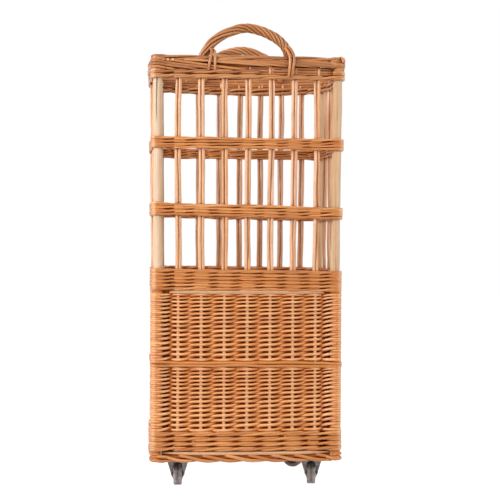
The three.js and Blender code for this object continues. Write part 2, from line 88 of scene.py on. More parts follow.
class Tree:
    """A small helper that makes and joins the nodes of one material or world."""

    def __init__(self, owner: Union[Material, bpy.types.World]) -> None:
        """Start with the nodes that a new material or world has.

        Args:
            owner: The material or world.
        """
        owner.use_nodes = True
        self.owner = owner
        self.nodes, self.links = owner.node_tree.nodes, owner.node_tree.links

    @classmethod
    def material(cls, name: str) -> "Tree":
        """Start a new material of that name."""
        return cls(bpy.data.materials.new(name))

    @property
    def shader(self) -> bpy.types.Node:
        """The main shader of a material."""
        return self.nodes["Principled BSDF"]

    def add(self, kind: str, inputs: Optional[Dict] = None, **settings: Union[str, int]) -> bpy.types.Node:
        """Add one node.

        Args:
            kind: The node's type name without its ShaderNode prefix.
            inputs: Values or sockets by input name or number.
            settings: Properties of the node itself.

        Returns:
            The new node.
        """
        node = self.nodes.new("ShaderNode" + kind)
        for key, value in settings.items():
            setattr(node, key, value)
        for key, value in (inputs or {}).items():
            self.feed(node.inputs[key], value)
        return node

    def feed(self, socket: Socket, value: Value) -> None:
        """Join a socket to another socket, or set its value.

        Args:
            socket: The input to feed.
            value: A number, a colour with or without its alpha, or another node's output.
        """
        if isinstance(value, Socket):
            self.links.new(value, socket)
        elif isinstance(value, tuple) and socket.type == "RGBA":
            socket.default_value = (*value[:3], 1.0)
        else:
            socket.default_value = value

    def attribute(self, name: str) -> Socket:
        """Return the number that each point of a mesh has under a name."""
        return self.add("Attribute", attribute_name=name).outputs["Fac"]

    def place(self) -> Socket:
        """Return the object's own coordinates."""
        return self.add("TexCoord").outputs["Object"]

    def open_air(self, distance: float) -> Socket:
        """Return how open a point's surroundings are, from 0 in a crevice to 1."""
        return self.add("AmbientOcclusion", {"Distance": distance}, samples=6).outputs["AO"]

    def maths(self, operation: str, *values: Value) -> Socket:
        """Return the result of a Math node over values or sockets."""
        return self.add("Math", dict(enumerate(values)), operation=operation).outputs[0]

    def line(self, value: Value, gain: float, offset: Value) -> Socket:
        """Return a value times a gain, plus an offset."""
        return self.maths("ADD", self.maths("MULTIPLY", value, gain), offset)

    def ramp(self, factor: Value, *stops: Tuple[float, Colour]) -> Socket:
        """Return the colour of a ramp.

        Args:
            factor: The place on the ramp.
            stops: Places and their colours.

        Returns:
            The colour's socket.
        """
        node = self.add("ValToRGB", {0: factor})
        elements = node.color_ramp.elements
        while len(elements) < len(stops):
            elements.new(0.5)
        for element, (place, colour) in zip(elements, stops):
            element.position = place
            element.color = (*colour, 1.0)
        return node.outputs[0]

    def mix(self, factor: Value, first: Value, second: Value, blend: str = "MIX") -> Socket:
        """Return the mix of two colours."""
        inputs = {0: factor, 6: first, 7: second}
        return self.add("Mix", inputs, data_type="RGBA", blend_type=blend).outputs[2]

    def times(self, first: Value, second: Value, share: Value = 1.0) -> Socket:
        """Return a colour multiplied by a share of another."""
        return self.mix(share, first, second, "MULTIPLY")

    def noise(self, vector: Value, scale: Union[float, Triple], detail: float) -> Socket:
        """Return a noise value between 0 and 1.

        Args:
            vector: The coordinates.
            scale: How fine the noise is, in all directions or along each axis.
            detail: How many finer layers it has.

        Returns:
            The noise's socket.
        """
        if isinstance(scale, tuple):
            vector = self.stretched(vector, scale)
            scale = 1.0
        return self.add("TexNoise", {"Vector": vector, "Scale": scale, "Detail": detail}).outputs[0]

    def stretched(self, vector: Value, scale: Triple) -> Socket:
        """Return coordinates scaled along each axis."""
        return self.add("Mapping", {"Vector": vector, "Scale": scale}).outputs[0]

    def bump(self, height: Value, strength: float, distance: float) -> None:
        """Drive the shader's normal from a height."""
        node = self.add("Bump", {"Height": height, "Strength": strength, "Distance": distance})
        self.feed(self.shader.inputs["Normal"], node.outputs[0])

    def set(self, **inputs: Value) -> None:
        """Feed the shader's inputs, named with underscores for spaces."""
        for key, value in inputs.items():
            self.feed(self.shader.inputs[key.replace("_", " ")], value)


@dataclass(frozen=True)
class WillowFinish:
    """Buff willow rods: a tone for each rod, fibres along it and pale cut ends."""

    name: str
    tones: Tuple[Colour, ...]
    cut: Colour = (0.80, 0.55, 0.33)
    roughness: float = 0.37
    crevice: float = 12.0 * MM
    # Painted shade in crevices, as the open-air test finds them: the darkest colour, then the half-way one.
    depth: Colour = (0.34, 0.085, 0.012)
    painted_half_shade: Colour = (0.76, 0.53, 0.36)
    # Painted shade on rods deep in the weave.
    painted_shade: Colour = (0.31, 0.075, 0.008)
    # Painted highlight on the rods' crests; on the stakes this colour is their woven tone instead.
    crest: Colour = (0.93, 0.63, 0.38)
    fibre_scale: Triple = (26.0, 900.0, 1.0)
    patch_scale: Triple = (16.0, 60.0, 1.0)
    speck_scale: Triple = (130.0, 420.0, 1.0)

    def build(self) -> Material:
        """Paint the rod's own colour, then a painted highlight on its crests, which on the stakes is their
        woven tone, and painted shade in crevices and between rods.

        Returns:
            The material.
        """
        tree = Tree.material(self.name)
        tint = tree.attribute("tint")
        spread = {axis: tree.maths("MULTIPLY", tint, gain) for axis, gain in ((0, 37.0), (2, 91.0))}
        shift = tree.add("CombineXYZ", spread)
        uv = tree.add("UVMap", uv_map="strand").outputs[0]
        place = tree.add("VectorMath", {0: uv, 1: shift.outputs[0]}, operation="ADD").outputs[0]
        fibre = tree.noise(place, self.fibre_scale, 3.0)
        patch = tree.noise(place, self.patch_scale, 2.0)
        speck = tree.noise(place, self.speck_scale, 1.0)
        base = self.bark(tree, tint, patch, fibre, speck)
        # Painted highlight on the crests, from a negative shade value; on the stakes it gives their woven
        # tone.
        shaded = tree.attribute("shade")
        deep = tree.maths("MAXIMUM", shaded, 0.0)
        base = tree.mix(tree.maths("SUBTRACT", deep, shaded), base, self.crest)
        # Painted shade in crevices, from the open-air test, and deep in the weave, from a positive shade
        # value; the specular dims there too.
        open_air = tree.open_air(self.crevice)
        base = tree.times(base, tree.ramp(open_air, (0.08, self.depth), (0.48, self.painted_half_shade), (0.86, WHITE)))
        base = tree.mix(deep, base, self.painted_shade)
        shallow = tree.maths("SUBTRACT", 1.0, deep)
        shine = tree.maths("MULTIPLY", shallow, tree.maths("MULTIPLY", open_air, 0.6))
        rough = tree.line(fibre, 0.22, self.roughness - 0.11)
        tree.set(Base_Color=base, Roughness=rough, Specular_IOR_Level=shine)
        tree.bump(tree.line(patch, 0.8, fibre), 0.35, 0.0006)
        return tree.owner

    def bark(self, tree: Tree, tint: Value, patch: Value, fibre: Value, speck: Value) -> Socket:
        """Paint a rod with its tone, fibres, specks and cut ends.

        Args:
            tree: The material's nodes.
            tint: The rod's tone, from 0 to 1.
            patch: Soft patches along the rod.
            fibre: The fibres along the rod.
            speck: A noise whose low values are specks.

        Returns:
            The colour's socket.
        """
        tone = tree.line(tint, 0.72, tree.maths("MULTIPLY", patch, 0.28))
        last = len(self.tones) - 1
        base = tree.ramp(tone, *((0.08 + 0.84 * i / last, c) for i, c in enumerate(self.tones)))
        hue = tree.maths("FRACT", tree.maths("MULTIPLY", tint, 53.7))
        cast = tree.ramp(hue, (0.0, (1.0, 0.93, 0.82)), (0.6, WHITE), (1.0, (1.02, 1.05, 1.22)))
        base = tree.times(base, cast)
        streak = tree.ramp(fibre, (0.30, (0.60, 0.50, 0.42)), (0.52, WHITE), (0.75, (1.12, 1.1, 1.06)))
        base = tree.times(base, streak, 0.8)
        base = tree.times(base, tree.ramp(speck, (0.22, (0.50, 0.34, 0.25)), (0.29, WHITE)), 0.6)
        return tree.mix(tree.attribute("cut_end"), base, self.cut)


@dataclass(frozen=True)
class PeeledFinish:
    """Peeled chestnut sticks: cream wood, long grain, small knots and darker streaks."""

    name: str = "peeled_stick"
    pale: Colour = (0.73, 0.55, 0.39)
    warm: Colour = (0.63, 0.41, 0.245)
    dark: Colour = (0.40, 0.22, 0.11)
    # The colour that the right-hand posts are multiplied by, which makes them darker.
    darkening: Colour = (0.86, 0.76, 0.62)
    rift: Colour = (0.055, 0.022, 0.009)

    def build(self) -> Material:
        """Make the material.

        Returns:
            The material.
        """
        tree = Tree.material(self.name)
        place = tree.place()
        grain = tree.noise(place, (420.0, 420.0, 7.0), 4.0)
        band = tree.noise(place, (95.0, 95.0, 3.0), 2.0)
        base = tree.ramp(band, (0.32, self.warm), (0.62, self.pale))
        base = tree.times(base, tree.ramp(grain, (0.30, (0.66, 0.54, 0.44)), (0.46, WHITE)), 0.75)
        knot = tree.add("TexVoronoi", {"Vector": tree.stretched(place, (26.0, 26.0, 9.0)), "Scale": 1.0})
        spot = tree.ramp(knot.outputs["Distance"], (0.05, WHITE), (0.13, BLACK))
        base = tree.mix(tree.maths("MULTIPLY", spot, 0.7), base, self.dark)
        # Darker on the right-hand posts, by their tint value.
        base = tree.times(base, self.darkening, tree.attribute("tint"))
        base = tree.mix(tree.attribute("split"), base, self.rift)
        base = tree.mix(tree.maths("MULTIPLY", tree.attribute("cut_end"), 0.6), base, self.warm)
        tree.set(Base_Color=base, Roughness=tree.line(grain, 0.25, 0.46), Specular_IOR_Level=0.35)
        tree.bump(grain, 0.35, 0.0008)
        return tree.owner


@dataclass(frozen=True)
class PlywoodFinish:
    """Thin birch ply: plies along the edge and figured faces."""

    name: str = "birch_ply"
    face: Colour = (0.58, 0.325, 0.17)
    early: Colour = (0.66, 0.395, 0.225)
    late: Colour = (0.40, 0.19, 0.09)
    ply: float = 1.75 * MM

    def build(self) -> Material:
        """Make the material.

        Returns:
            The material.
        """
        tree = Tree.material(self.name)
        place = tree.place()
        height = tree.add("SeparateXYZ", {0: place}).outputs[2]
        figure = tree.noise(place, (7.0, 150.0, 20.0), 4.0)
        flat = tree.ramp(figure, (0.30, self.late), (0.55, self.face), (0.75, self.early))
        layer = tree.line(tree.maths("SINE", tree.maths("MULTIPLY", height, math.pi / self.ply)), 0.5, 0.5)
        fleck = tree.noise(place, (300.0, 300.0, 900.0), 3.0)
        mixed = tree.line(layer, 0.6, tree.maths("MULTIPLY", fleck, 0.5))
        edge = tree.ramp(mixed, (0.25, self.late), (0.65, self.early))
        normal = tree.add("SeparateXYZ", {0: tree.add("NewGeometry").outputs["True Normal"]}).outputs[2]
        upright = tree.maths("LESS_THAN", tree.maths("ABSOLUTE", normal), 0.8)
        tree.set(Base_Color=tree.mix(upright, flat, edge), Roughness=0.58, Specular_IOR_Level=0.3)
        tree.bump(figure, 0.2, 0.0005)
        return tree.owner


@dataclass(frozen=True)
class SteelFinish:
    """Dull zinc plate with a soft spangle and fine rubbing marks."""

    name: str = "zinc_plate"
    light: Colour = (0.235, 0.207, 0.193)
    dark: Colour = (0.080, 0.067, 0.060)
    # Painted shade: the colour that the crevices darken towards, as the open-air test finds them.
    painted_shade: Colour = (0.06, 0.048, 0.042)
    crevice: float = 22.0 * MM

    def build(self) -> Material:
        """Make the material.

        Returns:
            The material.
        """
        tree = Tree.material(self.name)
        place = tree.place()
        cloud = tree.noise(place, 90.0, 4.0)
        marks = tree.noise(place, (700.0, 700.0, 90.0), 2.0)
        base = tree.ramp(cloud, (0.30, self.dark), (0.70, self.light))
        # Painted shade in the crevices.
        base = tree.times(base, tree.ramp(tree.open_air(self.crevice), (0.15, self.painted_shade), (0.75, WHITE)))
        tree.set(Base_Color=base, Metallic=0.9, Roughness=tree.line(marks, 0.24, 0.24))
        tree.bump(marks, 0.12, 0.0003)
        return tree.owner


@dataclass(frozen=True)
class MouldedFinish:
    """A moulded material: rubber tyre or plastic hub, with dust in its grain and a darker band where a mesh
    marks one.
    """

    name: str
    base: Colour
    dust: Colour
    roughness: float = 0.5
    smudge: Colour = (0.075, 0.045, 0.035)

    def build(self) -> Material:
        """Make the material.

        Returns:
            The material.
        """
        tree = Tree.material(self.name)
        place = tree.place()
        cloud = tree.noise(place, 110.0, 4.0)
        base = tree.ramp(cloud, (0.30, self.base), (0.72, self.dust))
        # Darker where the mesh's streak value marks it.
        base = tree.mix(tree.attribute("streak"), base, self.smudge)
        rough = tree.line(cloud, 0.2, self.roughness - 0.1)
        tree.set(Base_Color=base, Roughness=rough, Specular_IOR_Level=0.35)
        tree.bump(tree.noise(place, 1900.0, 2.0), 0.25, 0.0003)
        return tree.owner


def smooth(share: Numbers) -> Numbers:
    """Return shares from 0 to 1 that start and stop gently."""
    return share * share * (3 - 2 * share)


def unit(value: Numbers) -> Numbers:
    """Return values held between 0 and 1."""
    return np.clip(value, 0.0, 1.0)


def angle_from(angle: Array, middle: Numbers) -> Array:
    """Return angles as they lie from a middle one, between half a turn each way."""
    return np.angle(np.exp(1j * (angle - middle)))


@dataclass(frozen=True)
class Wall:
    """One bowed side of the basket, from its own corner post to the next one."""

    name: str
    corner: str
    along: Pair
    span: float
    depth: float
    bow: float
    stakes: int
    pitch: float

    @property
    def out(self) -> Array:
        """The direction out of the basket."""
        return np.array([self.along[1], -self.along[0]])

    @property
    def post(self) -> Array:
        """The middle of the wall's first post."""
        return self.out * self.depth / 2 - np.array(self.along) * self.span / 2

    def points(self, distance: Array, reach: Numbers) -> Array:
        """Return plan points at distances along the wall and at reaches out of its bowed line."""
        outwards = reach + 4 * self.bow * distance / self.span * (1 - distance / self.span)
        return self.post + np.outer(distance, self.along) + np.outer(outwards, self.out)


@dataclass(frozen=True)
class Upright:
    """A post or stake: its CAD node, its wall and its place along it."""

    node: str
    wall: Wall
    distance: float
    is_post: bool


@dataclass(frozen=True)
class Grip:
    """How far a course's rods keep from the middle of the uprights that they pass."""

    stake_half: float = 3.2 * MM
    stake_hold: float = 3.2 * MM
    post_half: float = 9.9 * MM
    post_inside: float = 22.0 * MM


SINGLE_GRIP = Grip()
PAIR_GRIP = Grip(stake_hold=6.0 * MM)
RANDING_GRIP = Grip(stake_half=2.3 * MM, post_inside=12.0 * MM)

# Where the ends of a short rod round a post pass, along and out of the wall in millimetres
OUTER_TUCK = ((7.4, 3.5), (5.2, 8.6), (2.2, 11.4))
DEEP_TUCK = ((9.8, 1.0), (8.2, 5.2), (5.2, 9.0))
BRIEF_TUCK = ((5.0, 5.0), (3.6, 8.8), (1.4, 11.0))


@dataclass
class Trail:
    """A rod's way round the plan: points, places counted in uprights, turns round posts and reaches."""

    plan: Array
    count: Array
    corner: Array
    reach: Array

    def part(self, keep: Array) -> "Trail":
        """Return the points of the way that are kept."""
        return Trail(self.plan[keep], self.count[keep], self.corner[keep], self.reach[keep])


@dataclass
class Plan:
    """The uprights in order, counter-clockwise from the front left post, and ways round them."""

    walls: List[Wall] = field(default_factory=lambda: [
        Wall("front", "front_left", (1, 0), 0.366, 0.264, 0.010, 7, 0.0472),
        Wall("right", "front_right", (0, 1), 0.264, 0.366, 0.013, 5, 0.044),
        Wall("back", "back_right", (-1, 0), 0.366, 0.264, 0.010, 7, 0.0472),
        Wall("left", "back_left", (0, -1), 0.264, 0.366, 0.013, 5, 0.044),
    ])
    step: float = 5.5 * MM
    flare_heights: Tuple[float, ...] = (0.0, 0.46, 0.80, 0.95)
    flare_shares: Tuple[float, ...] = (0.0, -0.002, 0.016, 0.012)
    inside_share: float = 0.9
    inside_bend: float = 0.964
    # Painted light and shade round the posts: reach and facing limits, then the shade's and the highlight's
    # strengths and the highlight's width.
    tone_near: Pair = (20 * MM, 4 * MM)
    tone_facing: Pair = (75.0, 12.0)
    tone_shade: float = 0.12
    tone_highlight: float = 0.50
    tone_width: float = 21.0

    def __post_init__(self) -> None:
        """List the uprights."""
        self.uprights: List[Upright] = []
        for wall in self.walls:
            self.uprights.append(Upright(f"post_{wall.corner}", wall, 0.0, True))
            for index in range(wall.stakes):
                distance = wall.span / 2 + (index - (wall.stakes - 1) / 2) * wall.pitch
                self.uprights.append(Upright(f"stake_{wall.name}_{index + 1}", wall, distance, False))
        self.total = len(self.uprights)
        self.posts = [index for index, upright in enumerate(self.uprights) if upright.is_post]

    def upright(self, index: int) -> Upright:
        """Return an upright, counting round and round."""
        return self.uprights[index % self.total]

    def raised(self, flat: Array, height: Numbers) -> Array:
        """Return plan points at a height, spread a little towards the top, as the real posts lean."""
        spread = 1 + np.interp(height, self.flare_heights, self.flare_shares)
        return np.column_stack([flat * np.reshape(spread, (-1, 1)), np.broadcast_to(height, len(flat))])

    def bay(self, index: int) -> Tuple[Wall, float, float]:
        """Return the wall and the start and end distances between an upright and the next."""
        here, there = self.upright(index), self.upright(index + 1)
        return here.wall, here.distance, here.wall.span if there.is_post else there.distance

    def along_bay(self, place: float) -> Tuple[Wall, float]:
        """Return the wall and the distance along it of a place counted in uprights."""
        wall, start, end = self.bay(math.floor(place))
        return wall, start + (place - math.floor(place)) * (end - start)

    def grip(self, index: int, side: Side, rod: float, grip: Grip) -> Pair:
        """Find how a rod passes an upright.

        Args:
            index: The upright's place.
            side: The side that the rod passes.
            rod: The rod's radius.
            grip: How far it keeps from the uprights.

        Returns:
            How far out it passes and how far along it stays there.
        """
        if not self.upright(index).is_post:
            return side.value * (grip.stake_half + rod), grip.stake_hold
        if side is Side.OUTSIDE:
            return grip.post_half + rod, 0.0
        return -self.inside_share * (grip.post_half + rod), grip.post_inside

    def turn(self, index: int, side: Side, rod: float, grip: Grip) -> Array:
        """Bend a rod round a post.

        Args:
            index: The post's place among the uprights.
            side: The side that the rod passes.
            rod: The rod's radius.
            grip: How far it keeps from the post.

        Returns:
            The plan points of the turn.
        """
        after, before = self.upright(index).wall, self.upright(index - 1).wall
        centre, radius = after.post, grip.post_half + rod
        if side is Side.OUTSIDE:
            angles = np.radians(np.linspace(6.0, 84.0, 7))
            spokes = np.outer(np.cos(angles), before.out) + np.outer(np.sin(angles), after.out)
            return centre + radius * spokes
        share = np.array([0.2, 0.4, 0.6, 0.8])[:, None]
        reach, back = self.inside_share * radius, grip.post_inside
        start = centre - back * after.out - reach * before.out
        end = centre - back * before.out - reach * after.out
        middle = centre - (self.inside_bend * radius - 0.5 * back) * (before.out + after.out)
        return (1 - share) ** 2 * start + 2 * share * (1 - share) * middle + share ** 2 * end

    def trail(self, first: int, last: int, side_of: Callable[[int], Side], rod: float, grip: Grip) -> Trail:
        """Follow a rod in and out of the uprights.

        Args:
            first: The upright where the rod starts.
            last: The upright where it ends.
            side_of: The side that it passes each upright on.
            rod: The rod's radius.
            grip: How far it keeps from the uprights.

        Returns:
            The way of the rod.
        """
        plan, count, corner, reaches = [], [], [], []
        for index in range(first, last):
            wall, start, end = self.bay(index)
            side = side_of(index + 1)
            reach_a, hold_a = self.grip(index, side_of(index), rod, grip)
            reach_b, hold_b = self.grip(index + 1, side, rod, grip)
            steps = max(4, math.ceil((end - start - hold_a - hold_b) / self.step) + 1)
            distance = np.linspace(start + hold_a, end - hold_b, steps)
            reach = reach_a + (reach_b - reach_a) * smooth(np.linspace(0.0, 1.0, steps))
            plan.append(wall.points(distance, reach))
            reaches.append(reach)
            count.append(index + (distance - start) / (end - start))
            corner.append(np.zeros(steps))
            if self.upright(index + 1).is_post and index + 1 < last:
                arc = self.turn(index + 1, side, rod, grip)
                plan.append(arc)
                count.append(np.full(len(arc), index + 1.0))
                corner.append(np.full(len(arc), float(side is Side.OUTSIDE)))
                reaches.append(np.full(len(arc), reach_b))
        return Trail(*(np.concatenate(lists) for lists in (plan, count, corner, reaches)))

    def packing(self, index: int, rod: float, grip: Grip, tuck: Sequence[Pair]) -> Array:
        """Wrap a short rod round the outside of a post.

        Args:
            index: The post's place among the uprights.
            rod: The rod's radius.
            grip: How far it keeps from the post.
            tuck: How far along and out of the wall each end passes on its way in, in millimetres.

        Returns:
            The plan points.
        """
        before, after = self.upright(index - 1).wall, self.upright(index).wall
        ends, reach = np.array(tuck).T * MM
        first = before.points(before.span - ends, reach)
        last = after.points(ends[::-1], reach[::-1])
        return np.concatenate([first, self.turn(index, Side.OUTSIDE, rod, grip), last])

    def corner_light_and_shade(self, flat: Array) -> Array:
        """Paint light and shade on rods round the posts: a painted highlight over the corner, painted shade
        where they face along a wall.

        Args:
            flat: Plan points of a rod.

        Returns:
            One shade for each point, nought away from the posts.
        """
        tone = np.zeros(len(flat))
        for before, after in zip(self.walls[-1:] + self.walls[:-1], self.walls):
            away = flat - after.post
            distance = np.linalg.norm(away, axis=1)
            diagonal = (before.out + after.out) / math.sqrt(2.0)
            angle = np.degrees(np.arccos(np.clip(away @ diagonal / distance, -1.0, 1.0)))
            near = unit((self.tone_near[0] - distance) / self.tone_near[1])
            near = near * unit((self.tone_facing[0] - angle) / self.tone_facing[1])
            # Painted shade where the rod faces along a wall, less a painted highlight near the corner's
            # diagonal.
            tone = tone + near * (self.tone_shade - self.tone_highlight * np.exp(-(angle / self.tone_width) ** 2))
        return tone

    def walk(self, places: Array, reaches: Numbers, wrap: float) -> Trail:
        """Follow the wall line at given reaches, swelling round the outside of each post.

        Args:
            places: Places counted in uprights, rising.
            reaches: How far out of the wall line each place is, one or for each place.
            wrap: The radius about a post that the way keeps outside of.

        Returns:
            The way, with no turns or reaches of its own.
        """
        plan, count = [], []
        done: Optional[int] = None
        for place, reach in zip(places, np.broadcast_to(reaches, len(places))):
            index = math.floor(place)
            if done is not None and index > done and self.upright(index).is_post:
                before, after = self.upright(index - 1).wall, self.upright(index).wall
                for angle in np.radians(np.linspace(0.0, 90.0, 6)):
                    spoke = math.cos(angle) * before.out + math.sin(angle) * after.out
                    plan.append(after.post + max(wrap, reach) * spoke)
                    count.append(float(index))
            done = index
            wall, distance = self.along_bay(place)
            gap = min(distance, wall.span - distance)
            swell = math.sqrt(max(0.0, wrap * wrap - (0.7 * gap) ** 2))
            plan.append(wall.points(np.array([distance]), max(reach, swell))[0])
            count.append(place)
        nought = np.zeros(len(plan))
        return Trail(np.array(plan), np.array(count), nought, nought)


class Strands:
    """Many rods gathered into one mesh, each with its own tone, fibres and cut ends."""

    def __init__(self, seed: int, tones: Pair = (0.25, 0.8)) -> None:
        """Start with no rods.

        Args:
            seed: The start of the random numbers.
            tones: The range of the rods' tones.
        """
        self.random = np.random.default_rng(seed)
        self.tones = tones
        self.gathered: Dict[str, List[Array]] = defaultdict(list)
        self.size = 0

    def all(self, kind: str) -> Array:
        """Return one kind of value of all the rods."""
        return np.concatenate(self.gathered[kind])

    def wave(self, count: Array, height: float, pace: float = 0.55) -> Array:
        """Make a smooth random wave along a rod.

        Args:
            count: Places along the rod.
            height: The wave's height.
            pace: How quickly it turns.

        Returns:
            The wave at each place.
        """
        phases = self.random.uniform(0.0, 2 * math.pi, 3)
        paces = pace * np.array([1.0, 1.9, 3.3]) * self.random.uniform(0.8, 1.2, 3)
        waves = [np.sin(p * count * 2 + q) / (1 + i) for i, (p, q) in enumerate(zip(paces, phases))]
        return height * sum(waves) / 1.4

    def add(self, path: Array, radius: Numbers, tall: Numbers = 1.0, tint: Optional[float] = None,
            sides: int = 8, reference: Triple = (0.0, 0.0, 1.0), shade: Numbers = 0.0) -> None:
        """Add one rod.

        Args:
            path: Its middle line.
            radius: Its radius, one or for each point.
            tall: How much taller than wide its section is, one or for each point.
            tint: Its tone from 0, dark, to 1, pale, or a random one.
            sides: The number of its sides.
            reference: A direction that the rod never runs along, which its section stands in.
            shade: Up to 1, painted shade deep in the weave; down to -1, a painted highlight on crests, which
                is the woven tone on stakes.
        """
        count = len(path)
        tint = self.random.uniform(*self.tones) if tint is None else tint
        radius, tall, shade = (np.broadcast_to(values, count) for values in (radius, tall, shade))
        tangent = np.gradient(path, axis=0)
        tangent /= np.linalg.norm(tangent, axis=1, keepdims=True) + TINY
        side = np.cross(tangent, np.asarray(reference, float))
        side /= np.linalg.norm(side, axis=1, keepdims=True) + TINY
        up = np.cross(side, tangent)
        angle = 2 * math.pi * np.arange(sides) / sides
        across = np.cos(angle)[None, :, None] * side[:, None, :] * radius[:, None, None]
        upwards = np.sin(angle)[None, :, None] * up[:, None, :] * (radius * tall)[:, None, None]
        rings = path[:, None, :] + across + upwards
        bulge = 0.35 * radius[[0, -1], None] * np.stack([-tangent[0], tangent[-1]])
        points = np.concatenate([rings.reshape(-1, 3), path[[0, -1]] + bulge])
        here, after = np.arange(sides), (np.arange(sides) + 1) % sides
        start = np.arange(count - 1)[:, None] * sides
        quads = np.stack([start + here, start + after, start + after + sides, start + here + sides], axis=-1)
        tip, base = count * sides, (count - 1) * sides
        first = np.stack([np.full(sides, tip), after, here], axis=1)
        last = np.stack([np.full(sides, tip + 1), base + here, base + after], axis=1)
        made = {
            "points": points,
            "quads": quads.reshape(-1, 4) + self.size,
            "caps": np.concatenate([first, last]) + self.size,
            "quad_uvs": self.fibres(path, float(radius.mean()), sides),
            "cap_uvs": np.zeros((2 * sides * 3, 2)),
            "tint": np.full(len(points), tint),
            "cut_end": np.concatenate([np.zeros(count * sides), [1.0, 1.0]]),
            "shade": np.concatenate([np.repeat(shade, sides), shade[[0, -1]]]),
        }
        for kind, values in made.items():
            self.gathered[kind].append(values)
        self.size += len(points)

    @staticmethod
    def fibres(path: Array, radius: float, sides: int) -> Array:
        """Unroll a rod's sides, in metres along it and round it.

        Args:
            path: The rod's middle line.
            radius: Its mean radius.
            sides: The number of its sides.

        Returns:
            Four texture places for each of its quads.
        """
        length = np.concatenate([[0.0], np.cumsum(np.linalg.norm(np.diff(path, axis=0), axis=1))])
        girth = 2 * math.pi * radius
        u = np.repeat(length, sides).reshape(len(path), sides)
        u_quads = np.stack([u[:-1], u[:-1], u[1:], u[1:]], axis=-1)
        v = girth * np.arange(sides) / sides
        v_next = girth * (np.arange(sides) + 1) / sides
        v_quads = np.broadcast_to(np.stack([v, v_next, v_next, v], axis=-1), u_quads.shape)
        return np.stack([u_quads, v_quads], axis=-1).reshape(-1, 2)

    def mesh(self, name: str, material: Material) -> Thing:
        """Make one object of all the rods.

        Args:
            name: The object's name.
            material: Its material.

        Returns:
            The object.
        """
        mesh = bpy.data.meshes.new(name)
        points, quads, caps = self.all("points"), self.all("quads"), self.all("caps")
        corners = np.concatenate([quads.ravel(), caps.ravel()])
        starts = np.concatenate([np.arange(len(quads)) * 4, quads.size + np.arange(len(caps)) * 3])
        mesh.vertices.add(len(points))
        mesh.vertices.foreach_set("co", points.astype(np.float32).ravel())
        mesh.loops.add(len(corners))
        mesh.loops.foreach_set("vertex_index", corners.astype(np.int32))
        mesh.polygons.add(len(starts))
        mesh.polygons.foreach_set("loop_start", starts.astype(np.int32))
        mesh.polygons.foreach_set("use_smooth", np.arange(len(starts)) < len(quads))
        places = np.concatenate([self.all("quad_uvs"), self.all("cap_uvs")])
        mesh.uv_layers.new(name="strand").data.foreach_set("uv", places.astype(np.float32).ravel())
        for title in ("tint", "cut_end", "shade"):
            mark(mesh, title, self.all(title))
        mesh.update(calc_edges=True)
        mesh.validate()
        thing = bpy.data.objects.new(name, mesh)
        bpy.context.scene.collection.objects.link(thing)
        mesh.materials.append(material)
        return thing


def mark(mesh: bpy.types.Mesh, title: str, values: Array) -> None:
    """Give each point of a mesh a number under a title."""
    attribute = mesh.attributes.new(title, "FLOAT", "POINT")
    attribute.data.foreach_set("value", values.astype(np.float32))


def settle(thing: Thing, body: str, slot: Slot, *nodes: str) -> None:
    """Make a finished piece ride on a body and stand for CAD nodes.

    Args:
        thing: The piece.
        body: The body that it moves with.
        slot: The record's material slot; not used.
        nodes: The CAD nodes that it replaces.
    """
    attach(thing, body)
    if nodes:
        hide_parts(*nodes)
    thing.data.calc_loop_triangles()
    LOG.info("%s: %d triangles", thing.name, len(thing.data.loop_triangles))


@dataclass
class Course:
    """A piece of the basket that is made of rods, laid one by one and settled as one mesh."""

    plan: Plan
    finish: Material
    rods: Strands = field(init=False)

    def lay(self, flat: Array, height: Numbers, radius: Numbers, *look: Look, **named: Look) -> None:
        """Add one rod along plan points at a height, with its look as Strands.add takes it."""
        self.rods.add(self.plan.raised(flat, height), radius, *look, **named)

    def vary(self, low: float, high: float) -> float:
        """Return a random number between two."""
        return self.rods.random.uniform(low, high)

    def end(self, name: str, slot: Slot, *nodes: str) -> None:
        """Settle the rods as one piece of that name, which stands for the CAD nodes."""
        settle(self.rods.mesh(name, self.finish), ROOT_BODY, slot, *nodes)


